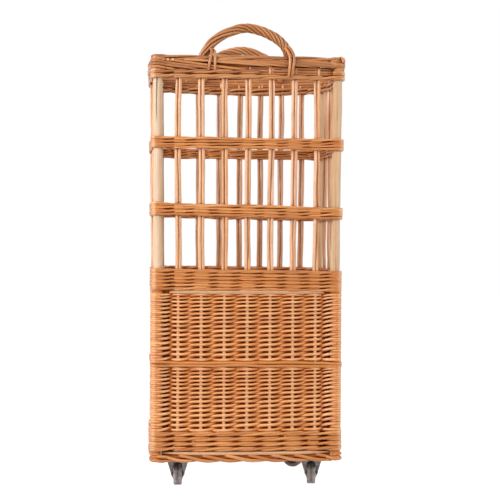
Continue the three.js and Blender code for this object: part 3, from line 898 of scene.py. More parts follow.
@dataclass
class Posts(Course):
    """Four peeled sticks at the corners, one of them split near its top."""

    seed: int = 100
    bottom: float = 70.3 * MM
    top: float = 885.0 * MM
    radius: float = 9.7 * MM
    sides: int = 40
    ring: float = 6.0 * MM
    pace: float = 30.0
    sway: float = 0.5 * MM
    # How far the right-hand posts take the darker colour.
    darkening: float = 0.85
    knots: int = 4
    knot_zone: Pair = (0.47, 0.84)
    knot_size: Pair = (0.42, 7 * MM)
    split_node: str = "post_front_left"
    split_foot: float = 0.756
    split_length: float = 0.095
    split_top: float = 0.852
    split_facing: float = -math.pi / 2 - 0.22

    def build(self) -> None:
        """Make the four sticks."""
        heights = np.arange(self.bottom, self.top + 1e-6, self.ring)
        count = heights * self.pace
        for number, index in enumerate(self.plan.posts):
            upright = self.plan.upright(index)
            self.rods = Strands(self.seed + number)
            flat = np.tile(upright.wall.post, (len(heights), 1))
            for axis in (0, 1):
                flat[:, axis] += self.rods.wave(count, self.sway, 0.25)
            radius = self.radius * (1.03 - 0.05 * (heights - self.bottom) / (self.top - self.bottom))
            radius = radius + self.rods.wave(count, 0.12 * MM, 0.6)
            darken_share = self.darkening if "right" in upright.node else 0.0
            self.lay(flat, heights, radius, 1.0, darken_share, self.sides, (1.0, 0.0, 0.0))
            thing = self.rods.mesh(f"corner_{upright.node}", self.finish)
            self.shape(thing, upright)
            settle(thing, ROOT_BODY, Slot.POST, upright.node)

    def shape(self, thing: Thing, upright: Upright) -> None:
        """Give a stick its facets, knots and, on one post, the long split.

        Args:
            thing: The stick.
            upright: The post that it stands for.
        """
        points = self.rods.all("points")
        height = points[:, 2]
        middle = self.plan.raised(np.tile(upright.wall.post, (len(points), 1)), height)
        spoke = points[:, :2] - middle[:, :2]
        angle = np.arctan2(spoke[:, 1], spoke[:, 0])
        shrink = 0.016 * np.sin(3 * angle + height * 9) + 0.010 * np.sin(7 * angle - height * 21)
        for _ in range(self.knots):
            level = self.vary(*self.knot_zone)
            away = angle_from(angle, self.vary(-math.pi, math.pi))
            above = (height - level) / self.knot_size[1]
            shrink += 0.075 * np.exp(-(away / self.knot_size[0]) ** 2 - above ** 2)
        split = np.zeros(len(points))
        if upright.node == self.split_node:
            share = unit((height - self.split_foot) / self.split_length)
            away = np.abs(angle_from(angle, self.split_facing + 0.10 * share))
            split = unit(1.35 - away / (0.05 + 0.13 * share)) * (share > 0) * (height < self.split_top)
            shrink -= 0.16 * split
        points[:, :2] += spoke * shrink[:, None]
        thing.data.vertices.foreach_set("co", points.astype(np.float32).ravel())
        mark(thing.data, "split", split)
        thing.data.update()


@dataclass
class Stakes(Course):
    """Upright willow rods: single in the woven body, doubled by by-stakes in the open part."""

    seed: int = 200
    bottom: float = 78.5 * MM
    parting: float = 0.404
    joined: float = 0.446
    top: float = 884.0 * MM
    by_foot: float = 418.0 * MM
    radius: float = 3.45 * MM
    spread: float = 3.15 * MM
    proud: float = 1.9 * MM
    twist: float = 1.7 * MM
    ring: float = 9.0 * MM
    pace: float = 26.0
    free: Pair = (0.46, 0.06)
    woven: Pair = (0.40, 0.03)
    highlight_and_tone: float = 0.85

    def build(self) -> None:
        """Make one piece for each stake with its by-stake."""
        levels = np.arange(self.bottom, self.top, self.ring)
        for seed, upright in enumerate(upright for upright in self.plan.uprights if not upright.is_post):
            self.rods = Strands(self.seed + seed)
            tints = self.rods.random.uniform(0.25, 0.95, 2)
            lean = self.rods.wave(levels * self.pace, 0.9 * MM, 0.3)
            twist = self.twist * self.rods.random.choice([-1.0, 1.0])
            for side, foot, tint in ((-1, self.bottom, tints[0]), (1, self.by_foot, tints[1])):
                heights = np.arange(foot, self.top, self.ring)
                count = heights * self.pace
                rise = unit((heights - self.parting) / (self.joined - self.parting))
                parted = smooth(rise) if side < 0 else 1.0
                loose = unit((heights - self.free[0]) / self.free[1])
                aside = np.interp(heights, levels, lean) + self.rods.wave(count, 0.3 * MM, 0.5)
                aside = side * self.spread * parted + aside * loose
                reach = self.rods.wave(count, 0.6 * MM, 0.35) + side * twist * np.sin(count * 0.35 + seed)
                reach = reach * loose + self.proud * (1 - loose)
                flat = upright.wall.points(upright.distance + aside, reach)
                taper = 1.10 - 0.20 * heights / self.top
                radius = self.radius * taper + self.rods.wave(count, 0.10 * MM, 0.8)
                shade = -self.highlight_and_tone * (1 - unit((heights - self.woven[0]) / self.woven[1]))
                self.lay(flat, heights, radius, 1.0, tint, 10, (1.0, 0.3, 0.0), shade)
            self.end(f"rods_{upright.node}", Slot.STAKE, upright.node)


@dataclass
class Siding(Course):
    """Plain randing: rods that climb gently to the right, over one upright and behind the next."""

    name: str
    node: str
    bottom: float
    top: float
    seed: int
    rod: float = 2.5 * MM
    pitch: float = 4.45 * MM
    seam: int = 18
    shortest: int = 6
    pack: float = 2.35 * MM
    tall: float = 1.06
    stretch: float = 0.20
    post_lift: float = 2.6 * MM
    post_room: float = 0.55
    edge_room: float = 0.12
    # Painted shade on rods deep behind the uprights and a painted highlight on their crests in front: reaches
    # where each starts and is full, then strengths.
    deep: Pair = (-0.6 * MM, -4.0 * MM)
    proud: Pair = (4.1 * MM, 4.8 * MM)
    painted_shade: float = 0.9
    highlight_and_tone: float = 0.30
    backing: float = 0.65
    backing_reach: float = 2.5 * MM
    overlap: float = 0.2
    tones: Pair = (0.36, 0.80)
    ripple: float = 0.75 * MM

    def share(self, level: Array) -> Array:
        """Return how far up the siding levels are."""
        return unit((level - self.bottom) / (self.top - self.bottom))

    def heights(self, level: Array, place: Array) -> Array:
        """Find real heights: rows spread a little towards the bottom and step up at each post.

        Args:
            level: Heights in even rows.
            place: Places counted in uprights.

        Returns:
            The heights.
        """
        share = self.share(level)
        eased = (1 + self.stretch) * share - self.stretch * share ** 2
        spread = self.bottom + (self.top - self.bottom) * eased
        total = self.plan.total
        gap = np.min([np.abs(np.mod(place, total) - post) for post in self.plan.posts + [total]], axis=0)
        near_edge = unit(np.minimum(share, 1 - share) / self.edge_room)
        return spread + self.post_lift * np.exp(-(gap / self.post_room) ** 2) * near_edge

    def thickness(self, level: Array) -> Array:
        """Return how tall the rods' sections are where the rows spread."""
        return self.tall * (1 + self.stretch - 2 * self.stretch * self.share(level))

    def build(self) -> None:
        """Weave the rows."""
        self.rods = Strands(self.seed, self.tones)
        for row in range(-self.plan.total, math.ceil((self.top - self.bottom) / self.pitch)):
            self.weave_row(row)
        self.end(self.name, Slot.WEAVE, self.node)

    def weave_row(self, row: int) -> None:
        """Weave one rod, which climbs by a row at each upright, and the short rods round the posts it misses.

        Args:
            row: The row that the rod starts in at the seam, which is below the siding for many.
        """
        def side_of(index: int) -> Side:
            """Return the side of one upright."""
            return Side.OUTSIDE if (index + row) % 2 == 0 else Side.INSIDE

        start = self.bottom + self.pitch * (row + 0.5)
        first = math.floor((self.bottom - start) / self.pitch)
        last = math.ceil((self.top - start) / self.pitch)
        first = max(0, first - int(side_of(self.seam + first) is Side.OUTSIDE))
        last = min(self.plan.total, last + int(side_of(self.seam + last) is Side.OUTSIDE))
        if last - first < 1:
            return
        trail = self.plan.trail(self.seam, self.seam + self.plan.total + 1, side_of, self.rod, RANDING_GRIP)
        count = trail.count - self.seam
        trail = trail.part((count >= first) & (count <= last + self.overlap))
        count = trail.count - self.seam
        if len(count) < self.shortest:
            return
        for index in range(self.seam, self.seam + self.plan.total):
            inside = first <= index - self.seam <= last and side_of(index) is Side.INSIDE
            if inside and self.plan.upright(index).is_post:
                self.wrap(index, start + self.pitch * (index - self.seam))
        flat, reach = trail.plan, trail.reach
        level = np.clip(start + self.pitch * count, self.bottom + 0.5 * self.rod, self.top - 0.5 * self.rod)
        height = self.heights(level, trail.count) + self.rods.wave(count, 0.28 * MM)
        height = height - self.ripple * np.sin(2 * math.pi * count)
        shift = self.rods.wave(count, 0.25 * MM)[:, None] * flat / np.linalg.norm(flat, axis=1, keepdims=True)
        radius = self.rod * (self.vary(0.94, 1.06) + self.rods.wave(count, 0.04))
        # Painted shade behind the uprights, a painted highlight on crests in front, and painted light and
        # shade round the posts.
        painted_shade = self.painted_shade * unit((self.deep[0] - reach) / (self.deep[0] - self.deep[1]))
        highlight_and_tone = self.highlight_and_tone * unit((reach - self.proud[0]) / (self.proud[1] - self.proud[0]))
        shade = painted_shade - highlight_and_tone * (1 - trail.corner) + self.plan.corner_light_and_shade(flat)
        tall = self.thickness(level) + 0.04 * trail.corner + self.backing * unit(-reach / self.backing_reach)
        self.lay(flat + shift, height, radius, tall, shade=shade)

    def wrap(self, index: int, height: float) -> None:
        """Pack one short rod round the outside of a post, between two rows that pass outside it.

        Args:
            index: The post's place.
            height: The rod's height in even rows.
        """
        flat = self.plan.packing(index, self.pack, SINGLE_GRIP, OUTER_TUCK)
        level = np.full(len(flat), height)
        real = self.heights(level, np.full(len(flat), float(index)))
        real = real + self.rods.wave(np.arange(len(flat)) * 0.3, 0.3 * MM)
        tint = self.vary(0.42, 0.80)
        tall = self.thickness(level)
        # Painted light and shade round the post.
        self.lay(flat, real, self.pack, tall, tint, shade=self.plan.corner_light_and_shade(flat))


@dataclass
class PostWraps(Course):
    """Short rods round the posts and a by-stake on each side of them, which fill the corners of the weave."""

    seed: int
    bottom: float = 67.0 * MM
    top: float = 456.0 * MM
    pitch: float = 3.9 * MM
    rod: float = 2.1 * MM
    grip: Grip = Grip(post_half=9.5 * MM)
    beside: float = 15.5 * MM
    behind: float = -6.5 * MM
    by_rod: float = 4.2 * MM
    by_ring: float = 12 * MM
    board: Pair = (74.5 * MM, 86.0 * MM)

    def build(self) -> None:
        """Wrap each post from the base board up to the shoulder."""
        self.rods = Strands(self.seed, (0.40, 0.80))
        for index in self.plan.posts:
            full = self.plan.packing(index, self.rod, self.grip, DEEP_TUCK)
            brief = self.plan.packing(index, self.rod, self.grip, BRIEF_TUCK)
            for height in np.arange(self.bottom, self.top, self.pitch):
                flat = brief if self.board[0] < height < self.board[1] else full
                level = height + self.vary(-0.3, 0.3) * MM
                # A little painted shade on the wraps.
                self.lay(flat, level, self.rod, 1.0, None, 6, shade=0.25)
            self.by_stakes(index)
        self.end("corner_wraps", Slot.WEAVE)

    def by_stakes(self, index: int) -> None:
        """Stand two thin rods inside the weave, one on each side of a post.

        Args:
            index: The post's place.
        """
        before, after = self.plan.upright(index - 1).wall, self.plan.upright(index).wall
        heights = np.arange(self.bottom, self.top, self.by_ring)
        for wall, distance in ((before, before.span - self.beside), (after, self.beside)):
            path = self.plan.raised(wall.points(np.full(len(heights), distance), self.behind), heights)
            # Full painted shade on the by-stakes, which show only in the dark holes beside the posts.
            self.rods.add(path, self.by_rod, 1.0, 0.2, 8, (1.0, 0.3, 0.0), 1.0)


@dataclass
class Hoops(Course):
    """Rods that run right round the basket without weaving, before or behind all the stakes."""

    name: str
    heights: Sequence[float]
    seed: int
    rod: float
    reach: float
    wrap: float = 0.1 * MM
    sway: float = 0.5 * MM
    tilt: float = 0.0
    shade: float = 0.0
    seam: int = 18
    scarf: float = 0.4
    tuck: float = 6.0 * MM

    def build(self) -> None:
        """Lay one rod at each height, given in millimetres, with its ends tucked behind each other."""
        self.rods = Strands(self.seed, (0.45, 0.75))
        places = np.linspace(0.0, self.plan.total + self.scarf, self.plan.total * 6)
        ends = smooth(unit(np.minimum(places, places[-1] - places) / self.scarf))
        for height in self.heights:
            way = self.plan.walk(places + self.seam, self.reach - self.tuck * (1 - ends), self.wrap)
            level = height * MM + self.rods.wave(way.count, self.sway) + self.tilt * way.plan[:, 0]
            # Painted shade by the hoop's shade value, and painted light and shade round the posts.
            shade = self.shade + self.plan.corner_light_and_shade(way.plan)
            self.lay(way.plan, level, self.rod, shade=shade)
        self.end(self.name, Slot.WEAVE)


@dataclass
class Wale(Course):
    """Three-rod waling: each rod passes before two uprights and behind one, like a flat rope."""

    name: str
    node: str
    bottom: float
    top: float
    rows: int
    seed: int
    grip: Grip = PAIR_GRIP
    tilt: float = 0.0
    seam: int = 18
    stubs: int = 0
    stub: float = 1.9 * MM
    gap: Optional[Tuple[int, float, float]] = None
    fullness: float = 1.22
    twist: float = 0.80
    painted_shade: float = 0.0
    loose: float = 0.35 * MM
    overlap: float = 0.2
    shortest: int = 6
    level: Optional[Callable[[Array, Array], Array]] = None

    @property
    def pitch(self) -> float:
        """The height of one row."""
        return (self.top - self.bottom) / self.rows

    def build(self) -> None:
        """Weave the rows as one piece."""
        self.rods = Strands(self.seed)
        for row in range(self.rows):
            for turn in range(3):
                self.weave_rod(row, turn)
        for _ in range(self.stubs):
            self.cut_stub()
        self.end(self.name, Slot.WEAVE, self.node)

    def weave_rod(self, row: int, turn: int) -> None:
        """Weave one of the three rods of a row.

        Args:
            row: The row, from the bottom.
            turn: Which of the three rods it is.
        """
        def side_of(index: int) -> Side:
            """Return the side of one upright."""
            return Side.INSIDE if (index + turn) % 3 == 0 else Side.OUTSIDE

        rod = self.pitch / 4 * self.fullness
        begin = self.seam + row % 3
        trail = self.plan.trail(begin, begin + self.plan.total + 1, side_of, rod, self.grip)
        trail = trail.part(trail.count <= begin + self.plan.total + self.overlap)
        middle = self.bottom + self.pitch * (row + 0.5)
        height = middle + self.lift(trail.count + turn) * self.twist * self.pitch / 4
        height = height + self.rods.wave(trail.count, self.loose)
        if self.level is not None:
            height = self.level(trail.plan, height)
        path = self.plan.raised(trail.plan, height + self.tilt * trail.plan[:, 0])
        radius = rod * (self.vary(0.92, 1.06) + self.rods.wave(trail.count, 0.05))
        # Painted shade where the rods pass behind the uprights, and painted light and shade round the posts.
        shade = self.painted_shade * unit(-trail.reach / (4 * MM)) + self.plan.corner_light_and_shade(trail.plan)
        tall = 1.0 + 0.12 * trail.corner
        for part in self.parts(trail.count % self.plan.total, row):
            self.rods.add(path[part], radius[part], tall[part], shade=shade[part])

    def parts(self, place: Array, row: int) -> List[Array]:
        """Find the stretches of a row that are woven, which is all of it but for a gap.

        Args:
            place: Places counted in uprights.
            row: The row, from the bottom.

        Returns:
            The numbers of the points of each stretch.
        """
        if self.gap is None or self.gap[0] != row:
            return [np.arange(len(place))]
        outside = (place < self.gap[1]) | (place > self.gap[2])
        breaks = np.flatnonzero(np.diff(outside.astype(int))) + 1
        runs = np.split(np.arange(len(place)), breaks)
        return [run for run in runs if outside[run[0]] and len(run) >= self.shortest]

    @staticmethod
    def lift(phase: Array) -> Array:
        """Return a rod's height in its row: low at its first upright outside and high at its second."""
        step = phase % 3
        return 2 * smooth(unit(step - 1.0)) - smooth(unit(step * 1.9)) - smooth(unit((step - 2.47) / 0.53))

    def cut_stub(self) -> None:
        """Add the cut end of a rod, which stands out between two rows."""
        wall, start, end = self.plan.bay(int(self.rods.random.integers(0, self.plan.total)))
        distance = start + (end - start) * self.vary(0.5, 0.66)
        height = self.bottom + self.pitch * int(self.rods.random.integers(1, self.rows + 1)) - 0.4 * MM
        share = np.linspace(0.0, 1.0, 4)
        flat = wall.points(distance + 7 * MM * share, (-3 + 9.5 * share) * MM)
        self.lay(flat, height, self.stub)


@dataclass
class FootBorder(Course):
    """The border under the base: each upright's tail slants down to the right and tucks under."""

    seed: int = 300
    node: str = "foot_border"
    top: float = 75.6 * MM
    bottom: float = 65.2 * MM
    rod: float = 3.7 * MM
    reach: float = 5.6 * MM
    behind: float = 3 * MM
    tuck: float = 7 * MM
    wrap: float = 9.8 * MM
    length: float = 1.85
    inner_rod: float = 3.1 * MM
    inner: Tuple[Pair, ...] = ((-5.5 * MM, 66.0 * MM), (-5.8 * MM, 72.0 * MM), (0.0, 66.0 * MM))

    def build(self) -> None:
        """Lay the tails one after another, and three rods behind them."""
        self.rods = Strands(self.seed)
        share = np.linspace(0.0, 1.0, 26)
        rise, fall = unit(share / 0.16), unit((share - 0.80) / 0.20)
        reach = -self.behind + (self.reach + self.behind) * rise * (2 - rise) - self.tuck * fall * fall
        for index in range(self.plan.total):
            places = index + share * self.length
            way = self.plan.walk(places, reach, self.wrap + self.rod)
            slope = np.interp(way.count, places, share)
            height = self.top + (self.bottom - self.top) * smooth(unit(slope / 0.72))
            height = height + self.rods.wave(way.count, 0.4 * MM)
            radius = self.rod * np.interp(slope, [0.0, 0.1, 0.7, 1.0], [0.8, 1.0, 1.0, 0.62])
            self.lay(way.plan, height, radius * self.vary(0.92, 1.06))
        places = np.linspace(0.0, self.plan.total - 0.01, self.plan.total * 6)
        for reach, height in self.inner:
            way = self.plan.walk(places, reach, 0.1 * MM)
            level = height + self.rods.wave(way.count, 0.6 * MM)
            # Painted shade on the rods behind the tails, which show dark through the gaps under the board.
            self.lay(way.plan, level, self.inner_rod, shade=0.45)
        self.end("foot_border_rods", Slot.WEAVE, self.node)


@dataclass
class Rim(Course):
    """The rim: waling below, long border rods laid to the right, and a twisted cord of rods on top."""

    node: str = "rim_border"
    bottom: float = 849.5 * MM
    wale_top: float = 868.0 * MM
    window: Pair = (4.45, 7.75)
    crown: float = 0.8905
    shoulder: float = 0.8885
    back: float = 0.11
    corner: float = 0.19
    tail_length: float = 4.0
    tail_rod: float = 3.2 * MM
    tail_drop: float = 21.5 * MM
    window_drop: float = 12.5 * MM
    inner_foot: float = 0.8545
    inner_pitch: float = 0.0062
    inner_rows: int = 6
    inner_rod: float = 3.3 * MM
    closing: Tuple[float, ...] = (0.8665, 0.8715, 0.8775, 0.8835)
    closing_rod: float = 3.4 * MM
    cord_rods: int = 5
    cord_rod: float = 3.1 * MM
    wrap_heights: Triple = (0.864, 0.882, 0.0043)
    end_height: float = 0.8858
    end_places: Tuple[float, ...] = (0.13, 0.36, 0.60, 9.4, 12.3, 15.4, 18.2, 20.6, 24.4, 26.3)

    def squeeze(self, flat: Array, height: Array) -> Array:
        """Return heights drawn up towards the crown of the rim along the back wall, most at its ends."""
        share = 0.11 + 0.13 * unit(np.abs(flat[:, 0]) / self.corner) ** 2
        return height + smooth(unit(flat[:, 1] / self.back)) * share * np.maximum(self.crown - height, 0.0)

    def build(self) -> None:
        """Make the waling, the border and the cut ends."""
        waling = Wale(self.plan, self.finish, "rim_waling", self.node, self.bottom, self.wale_top, 2, 401,
                      gap=(1, *self.window), level=self.squeeze)
        waling.build()
        layers = (
            ("rim_border_rods", 402, (self.border_rods, self.inner_rods)),
            ("rim_top_rods", 403, (self.top_cord, self.post_wraps, self.cut_ends, self.knot)),
        )
        for name, seed, steps in layers:
            self.rods = Strands(seed)
            for step in steps:
                step()
            self.end(name, Slot.WEAVE)

    def press(self, way: Trail, height: Array, radius: Numbers) -> None:
        """Add one rod of the rim."""
        self.lay(way.plan, self.squeeze(way.plan, height), radius)

    def border_rods(self) -> None:
        """Bend each upright's tail down to the right along the outside."""
        share = np.linspace(0.0, 1.0, 40)
        rise, fall = unit(share / 0.10), unit((share - 0.88) / 0.12)
        reach = -2 * MM + 8.6 * MM * rise * (2 - rise) - 6 * MM * fall * fall
        reach = reach + 1.6 * MM * np.sin(math.pi * share)
        for index in range(self.plan.total):
            places = index + share * self.tail_length
            way = self.plan.walk(places, reach, 13.0 * MM)
            slope = np.interp(way.count, places, share)
            over_window = self.window[0] - self.tail_length < index < self.window[1] - 1
            drop = self.window_drop if over_window else self.tail_drop
            height = self.shoulder - drop * slope + self.rods.wave(way.count, 0.8 * MM)
            radius = self.tail_rod * np.interp(slope, [0.0, 0.15, 0.8, 1.0], [0.9, 1.0, 0.95, 0.7])
            self.press(way, height, radius * self.vary(0.9, 1.1))

    def inner_rods(self) -> None:
        """Run rods along the inside of the rim, behind the stakes, and close the rim behind its tails."""
        for level in range(self.inner_rows):
            for part in range(2):
                begin = 14.2 * part + 1.1 * level
                places = np.linspace(begin, begin + 14.6, 90)
                reach = -7.4 * MM + 0.9 * MM * np.sin(places * math.pi + level) - 1.4 * MM * (level % 2)
                way = self.plan.walk(places, reach, 0.1 * MM)
                height = self.inner_foot + self.inner_pitch * level + self.rods.wave(way.count, 0.6 * MM)
                self.press(way, height, self.inner_rod * self.vary(0.94, 1.05))
        for height in self.closing:
            way = self.plan.walk(np.linspace(8.5, 32.0, 170), 1.5 * MM, 9.0 * MM)
            # Painted shade on the closing rods, which show dark behind the window and the tails.
            self.lay(way.plan, height, self.closing_rod, shade=0.35)

    def top_cord(self) -> None:
        """Twist long rods slowly along the top of the rim."""
        places = np.linspace(0.0, self.plan.total - 0.001, self.plan.total * 9)
        for rod in range(self.cord_rods):
            begin = self.vary(0.0, self.plan.total)
            angle = 2 * math.pi * (rod / self.cord_rods) + places * 0.42 * math.pi * 2 / 3
            reach = 2.2 * MM + 5.2 * MM * np.cos(angle)
            way = self.plan.walk(places + begin, reach, 11.0 * MM)
            turn = np.interp(way.count, places + begin, angle)
            height = self.crown + 3.6 * MM * np.sin(turn) + self.rods.wave(way.count, 0.5 * MM)
            self.press(way, height, self.cord_rod * self.vary(0.9, 1.05))

    def post_wraps(self) -> None:
        """Wrap the post beside the window of the rim, between the waling and the border."""
        index = next(post for post in self.plan.posts if post > self.window[1])
        flat = self.plan.packing(index, 2.5 * MM, SINGLE_GRIP, OUTER_TUCK)
        for height in np.arange(*self.wrap_heights):
            self.lay(flat, height, 2.4 * MM, 1.0, self.vary(0.55, 0.95))

    def cut_ends(self) -> None:
        """Set the pale cut ends of border rods that show on the outside."""
        share = np.linspace(0.0, 1.0, 5)
        for place in self.end_places:
            wall, distance = self.plan.along_bay(place)
            flat = wall.points(distance + 6 * MM * share, (-2 + 13.5 * share) * MM)
            self.lay(flat, self.end_height + 0.5 * MM * share, self.cord_rod, 1.0, 0.95)

    def knot(self) -> None:
        """Loop two rods over the rim at the front right corner."""
        share = np.linspace(-0.15, 1.12, 16) * math.pi
        for turn, slide in ((0.70, 0.0), (1.05, 2.5)):
            spoke = np.array([math.cos(turn), -math.sin(turn)])
            flat = self.plan.walls[1].post + np.outer(7.5 * MM - 8.5 * MM * np.cos(share) + slide * MM, spoke)
            path = self.plan.raised(flat, self.shoulder + 7.6 * MM * np.sin(share))
            self.rods.add(path, 2.9 * MM, 1.0, 0.8, 8, (-spoke[1], spoke[0], 0.0))


# The strand ends at the feet of a handle, in millimetres: along the wall, out from the bow, up from its foot
LASHINGS = (
    ((-86, -2, 15), (-78, 4, 15), (-74, 12, 10), (-75, 19, 0),
     (-78, 22.5, -12), (-80, 22, -24), (-81, 16, -33)),
    ((-78, -8, 9), (-71, 2, 11), (-68, 11, 8), (-68, 19, -1),
     (-68, 22.5, -12), (-68, 22, -24), (-68.5, 16, -33)),
    ((72, -1, 27), (82, 6, 20), (88, 14, 10), (92.5, 21, -3),
     (91, 23, -16), (88.5, 23.5, -32), (87.5, 17, -44)),
    ((68, -1, 22), (76, 7, 16), (81.5, 15, 7), (83.5, 22, -4),
     (83.5, 23.5, -16), (82, 23.5, -32), (81, 17, -44)),
)


@dataclass
class Handle(Course):
    """A roped bow: long strands on one half that tighten into a rope lay on the other."""

    node: str
    facing: int
    seed: int
    across: float = 130.7 * MM
    middle: float = -4.0 * MM
    left: float = 81.0 * MM
    right: float = 86.0 * MM
    rise: float = 58.0 * MM
    left_point: float = 1.35
    right_point: float = 1.25
    splay: float = 6.0 * MM
    splay_rise: float = 20.0 * MM
    foot: float = 897.8 * MM
    foot_slope: float = 0.11
    count: int = 7
    strand: float = 3.0 * MM
    rope: float = 7.1 * MM
    core: float = 4.2 * MM
    lashing: float = 3.3 * MM

    def bow(self, share: Array) -> Tuple[Array, Array]:
        """Follow the bow's middle line, with both feet let into the rim.

        Args:
            share: Places along the bow, from 0 to 1 between the feet and past them inside the rim.

        Returns:
            The sideways places and the heights.
        """
        angle = np.linspace(math.pi, 0.0, 400)
        side = np.cos(angle)
        z = self.rise * np.sin(angle)
        splay = self.splay * unit(1 - z / self.splay_rise) ** 2
        leftwards = -self.left * np.abs(side) ** self.left_point - splay
        x = self.middle + np.where(side < 0, leftwards, self.right * np.abs(side) ** self.right_point)
        length = np.concatenate([[0.0], np.cumsum(np.hypot(np.diff(x), np.diff(z)))])
        along = unit(share) * length[-1]
        below = np.minimum(share, 0.0) + np.minimum(1 - share, 0.0)
        return np.interp(along, length, x), self.foot + np.interp(along, length, z) + below * self.foot_slope

    def placed(self, x: Array, out: Numbers, z: Array) -> Array:
        """Return points, given sideways, outwards and up, on this handle's own wall."""
        y = np.broadcast_to(-self.across - out, len(x))
        return self.plan.raised(np.column_stack([x * self.facing, y * self.facing]), z)

    def build(self) -> None:
        """Twist the strands round the bow rod and lash the feet."""
        self.rods = Strands(self.seed)
        share = np.linspace(-0.12, 1.12, 110)
        x, z = self.bow(share)
        slope = np.column_stack([np.gradient(x), np.gradient(z)])
        slope /= np.linalg.norm(slope, axis=1, keepdims=True)
        twist = -2 * math.pi * (0.75 * share + 1.7 * unit(share - 0.40) ** 1.25)
        feet = np.clip(1 - 6 * np.maximum(-share, share - 1), 0.35, 1.0)
        for strand in range(self.count):
            angle = twist + 2 * math.pi * strand / self.count + 0.25
            lay = self.rope * feet + self.rods.wave(share * 9, 0.35 * MM)
            outward = lay * np.cos(angle)
            aside, up = -outward * slope[:, 1], outward * slope[:, 0]
            path = self.placed(x + aside, -lay * np.sin(angle), z + up)
            swell = 1.0 + self.rods.wave(share * 9, 0.05)
            radius = self.strand * swell * self.vary(0.94, 1.06)
            self.rods.add(path, radius, 1.0, None, 10, (0.0, 1.0, 0.0))
        # The core rod carries painted shade and shows dark between the strands.
        self.rods.add(self.placed(x, 0.0, z), self.core, 1.0, 0.1, 8, (0.0, 1.0, 0.0), 0.85)
        for way in LASHINGS:
            self.lash(way)
        self.end(f"{self.node}_rope", Slot.WEAVE, self.node)

    def lash(self, way: Sequence[Triple]) -> None:
        """Bring one strand's end over the rim and down its face.

        Args:
            way: The points that it passes, in millimetres.
        """
        fine = np.linspace(0.0, 1.0, 30)
        coarse = np.linspace(0.0, 1.0, len(way))
        lines = (np.pad(np.interp(fine, coarse, line), 2, mode="edge") for line in np.array(way, float).T)
        x, out, up = (np.convolve(line, np.ones(5) / 5, mode="valid") * MM for line in lines)
        radius = self.lashing * np.interp(fine, [0.0, 0.7, 1.0], [1.0, 0.95, 0.8])
        tint = self.vary(0.4, 0.8)
        self.rods.add(self.placed(x, out, self.foot + up), radius, 1.0, tint, 8, (1.0, 0.0, 0.0))


def pick(thing: Thing) -> None:
    """Make an object the only selected one.

    Args:
        thing: The object.
    """
    bpy.ops.object.select_all(action="DESELECT")
    thing.select_set(True)
    bpy.context.view_layer.objects.active = thing


def take(name: str, points: Sequence[Triple], edges: Sequence[Tuple[int, int]] = (),
         faces: Sequence[Sequence[int]] = ()) -> Thing:
    """Put a new mesh in the scene, as the only selected object and in edit mode.

    Args:
        name: The object's name.
        points: Its points.
        edges: Its edges, as numbers of points.
        faces: Its faces, as numbers of points.

    Returns:
        The object.
    """
    mesh = bpy.data.meshes.new(name)
    mesh.from_pydata(points, edges, faces)
    thing = bpy.data.objects.new(name, mesh)
    bpy.context.scene.collection.objects.link(thing)
    pick(thing)
    bpy.ops.object.mode_set(mode="EDIT")
    bpy.ops.mesh.select_all(action="SELECT")
    return thing


def close() -> None:
    """Turn the normals of the mesh outwards and leave edit mode."""
    bpy.ops.mesh.select_all(action="SELECT")
    bpy.ops.mesh.normals_make_consistent(inside=False)
    bpy.ops.object.mode_set(mode="OBJECT")


def slab(name: str, outline: Sequence[Triple], shift: Triple, cuts: Sequence[float] = ()) -> Thing:
    """Make a flat face and thicken it.

    Args:
        name: The object's name.
        outline: The corners of the face.
        shift: The way and the length of its thickness.
        cuts: Heights where the face is first cut across, so that it can bend there.

    Returns:
        The closed slab.
    """
    thing = take(name, outline, (), [list(range(len(outline)))])
    for height in cuts:
        bpy.ops.mesh.bisect(plane_co=(0, 0, height), plane_no=(0, 0, 1))
        bpy.ops.mesh.select_all(action="SELECT")
    bpy.ops.mesh.extrude_region_move(TRANSFORM_OT_translate={"value": shift})
    close()
    return thing


def ease(thing: Thing, width: float, segments: int) -> Thing:
    """Round the sharp edges of an object and smooth its faces.

    Args:
        thing: The object.
        width: The width of the rounding.
        segments: Its steps.

    Returns:
        The same object.
    """
    pick(thing)
    bevel = thing.modifiers.new("ease", "BEVEL")
    bevel.width, bevel.segments = width, segments
    bevel.limit_method, bevel.angle_limit = "ANGLE", SHARP_ANGLE
    bpy.ops.object.modifier_apply(modifier=bevel.name)
    bpy.ops.object.shade_smooth_by_angle(angle=SMOOTH_ANGLE)
    return thing


def turned(name: str, profile: Sequence[Pair], steps: int, lying: bool = False) -> Thing:
    """Turn a profile of radius and height pairs about Z, or about X if it is lying.

    Args:
        name: The object's name.
        profile: Radius and height pairs, in millimetres, from one end of the axis to the other.
        steps: The steps of the turn.
        lying: Whether the axis lies along X.

    Returns:
        The turned object.
    """
    line = [(radius * MM, 0.0, height * MM) for radius, height in profile]
    thing = take(name, line, [(i, i + 1) for i in range(len(line) - 1)])
    bpy.ops.mesh.spin(steps=steps, angle=2 * math.pi, center=(0, 0, 0), axis=(0, 0, 1))
    bpy.ops.mesh.select_all(action="SELECT")
    bpy.ops.mesh.remove_doubles(threshold=1e-6)
    close()
    if lying:
        thing.data.transform(Matrix.Rotation(math.pi / 2, 4, "Y"))
    bpy.ops.object.shade_smooth_by_angle(angle=SMOOTH_ANGLE)
    return thing


def block(name: str, low: Triple, high: Triple) -> Thing:
    """Make a block.

    Args:
        name: The object's name.
        low: Its lowest corner, in millimetres.
        high: Its highest corner.

    Returns:
        The block.
    """
    low, high = Vector(low) * MM, Vector(high) * MM
    bpy.ops.mesh.primitive_cube_add(size=1.0, location=(low + high) / 2, scale=high - low)
    bpy.ops.object.transform_apply(location=True, rotation=True, scale=True)
    thing = bpy.context.active_object
    thing.name = name
    return thing


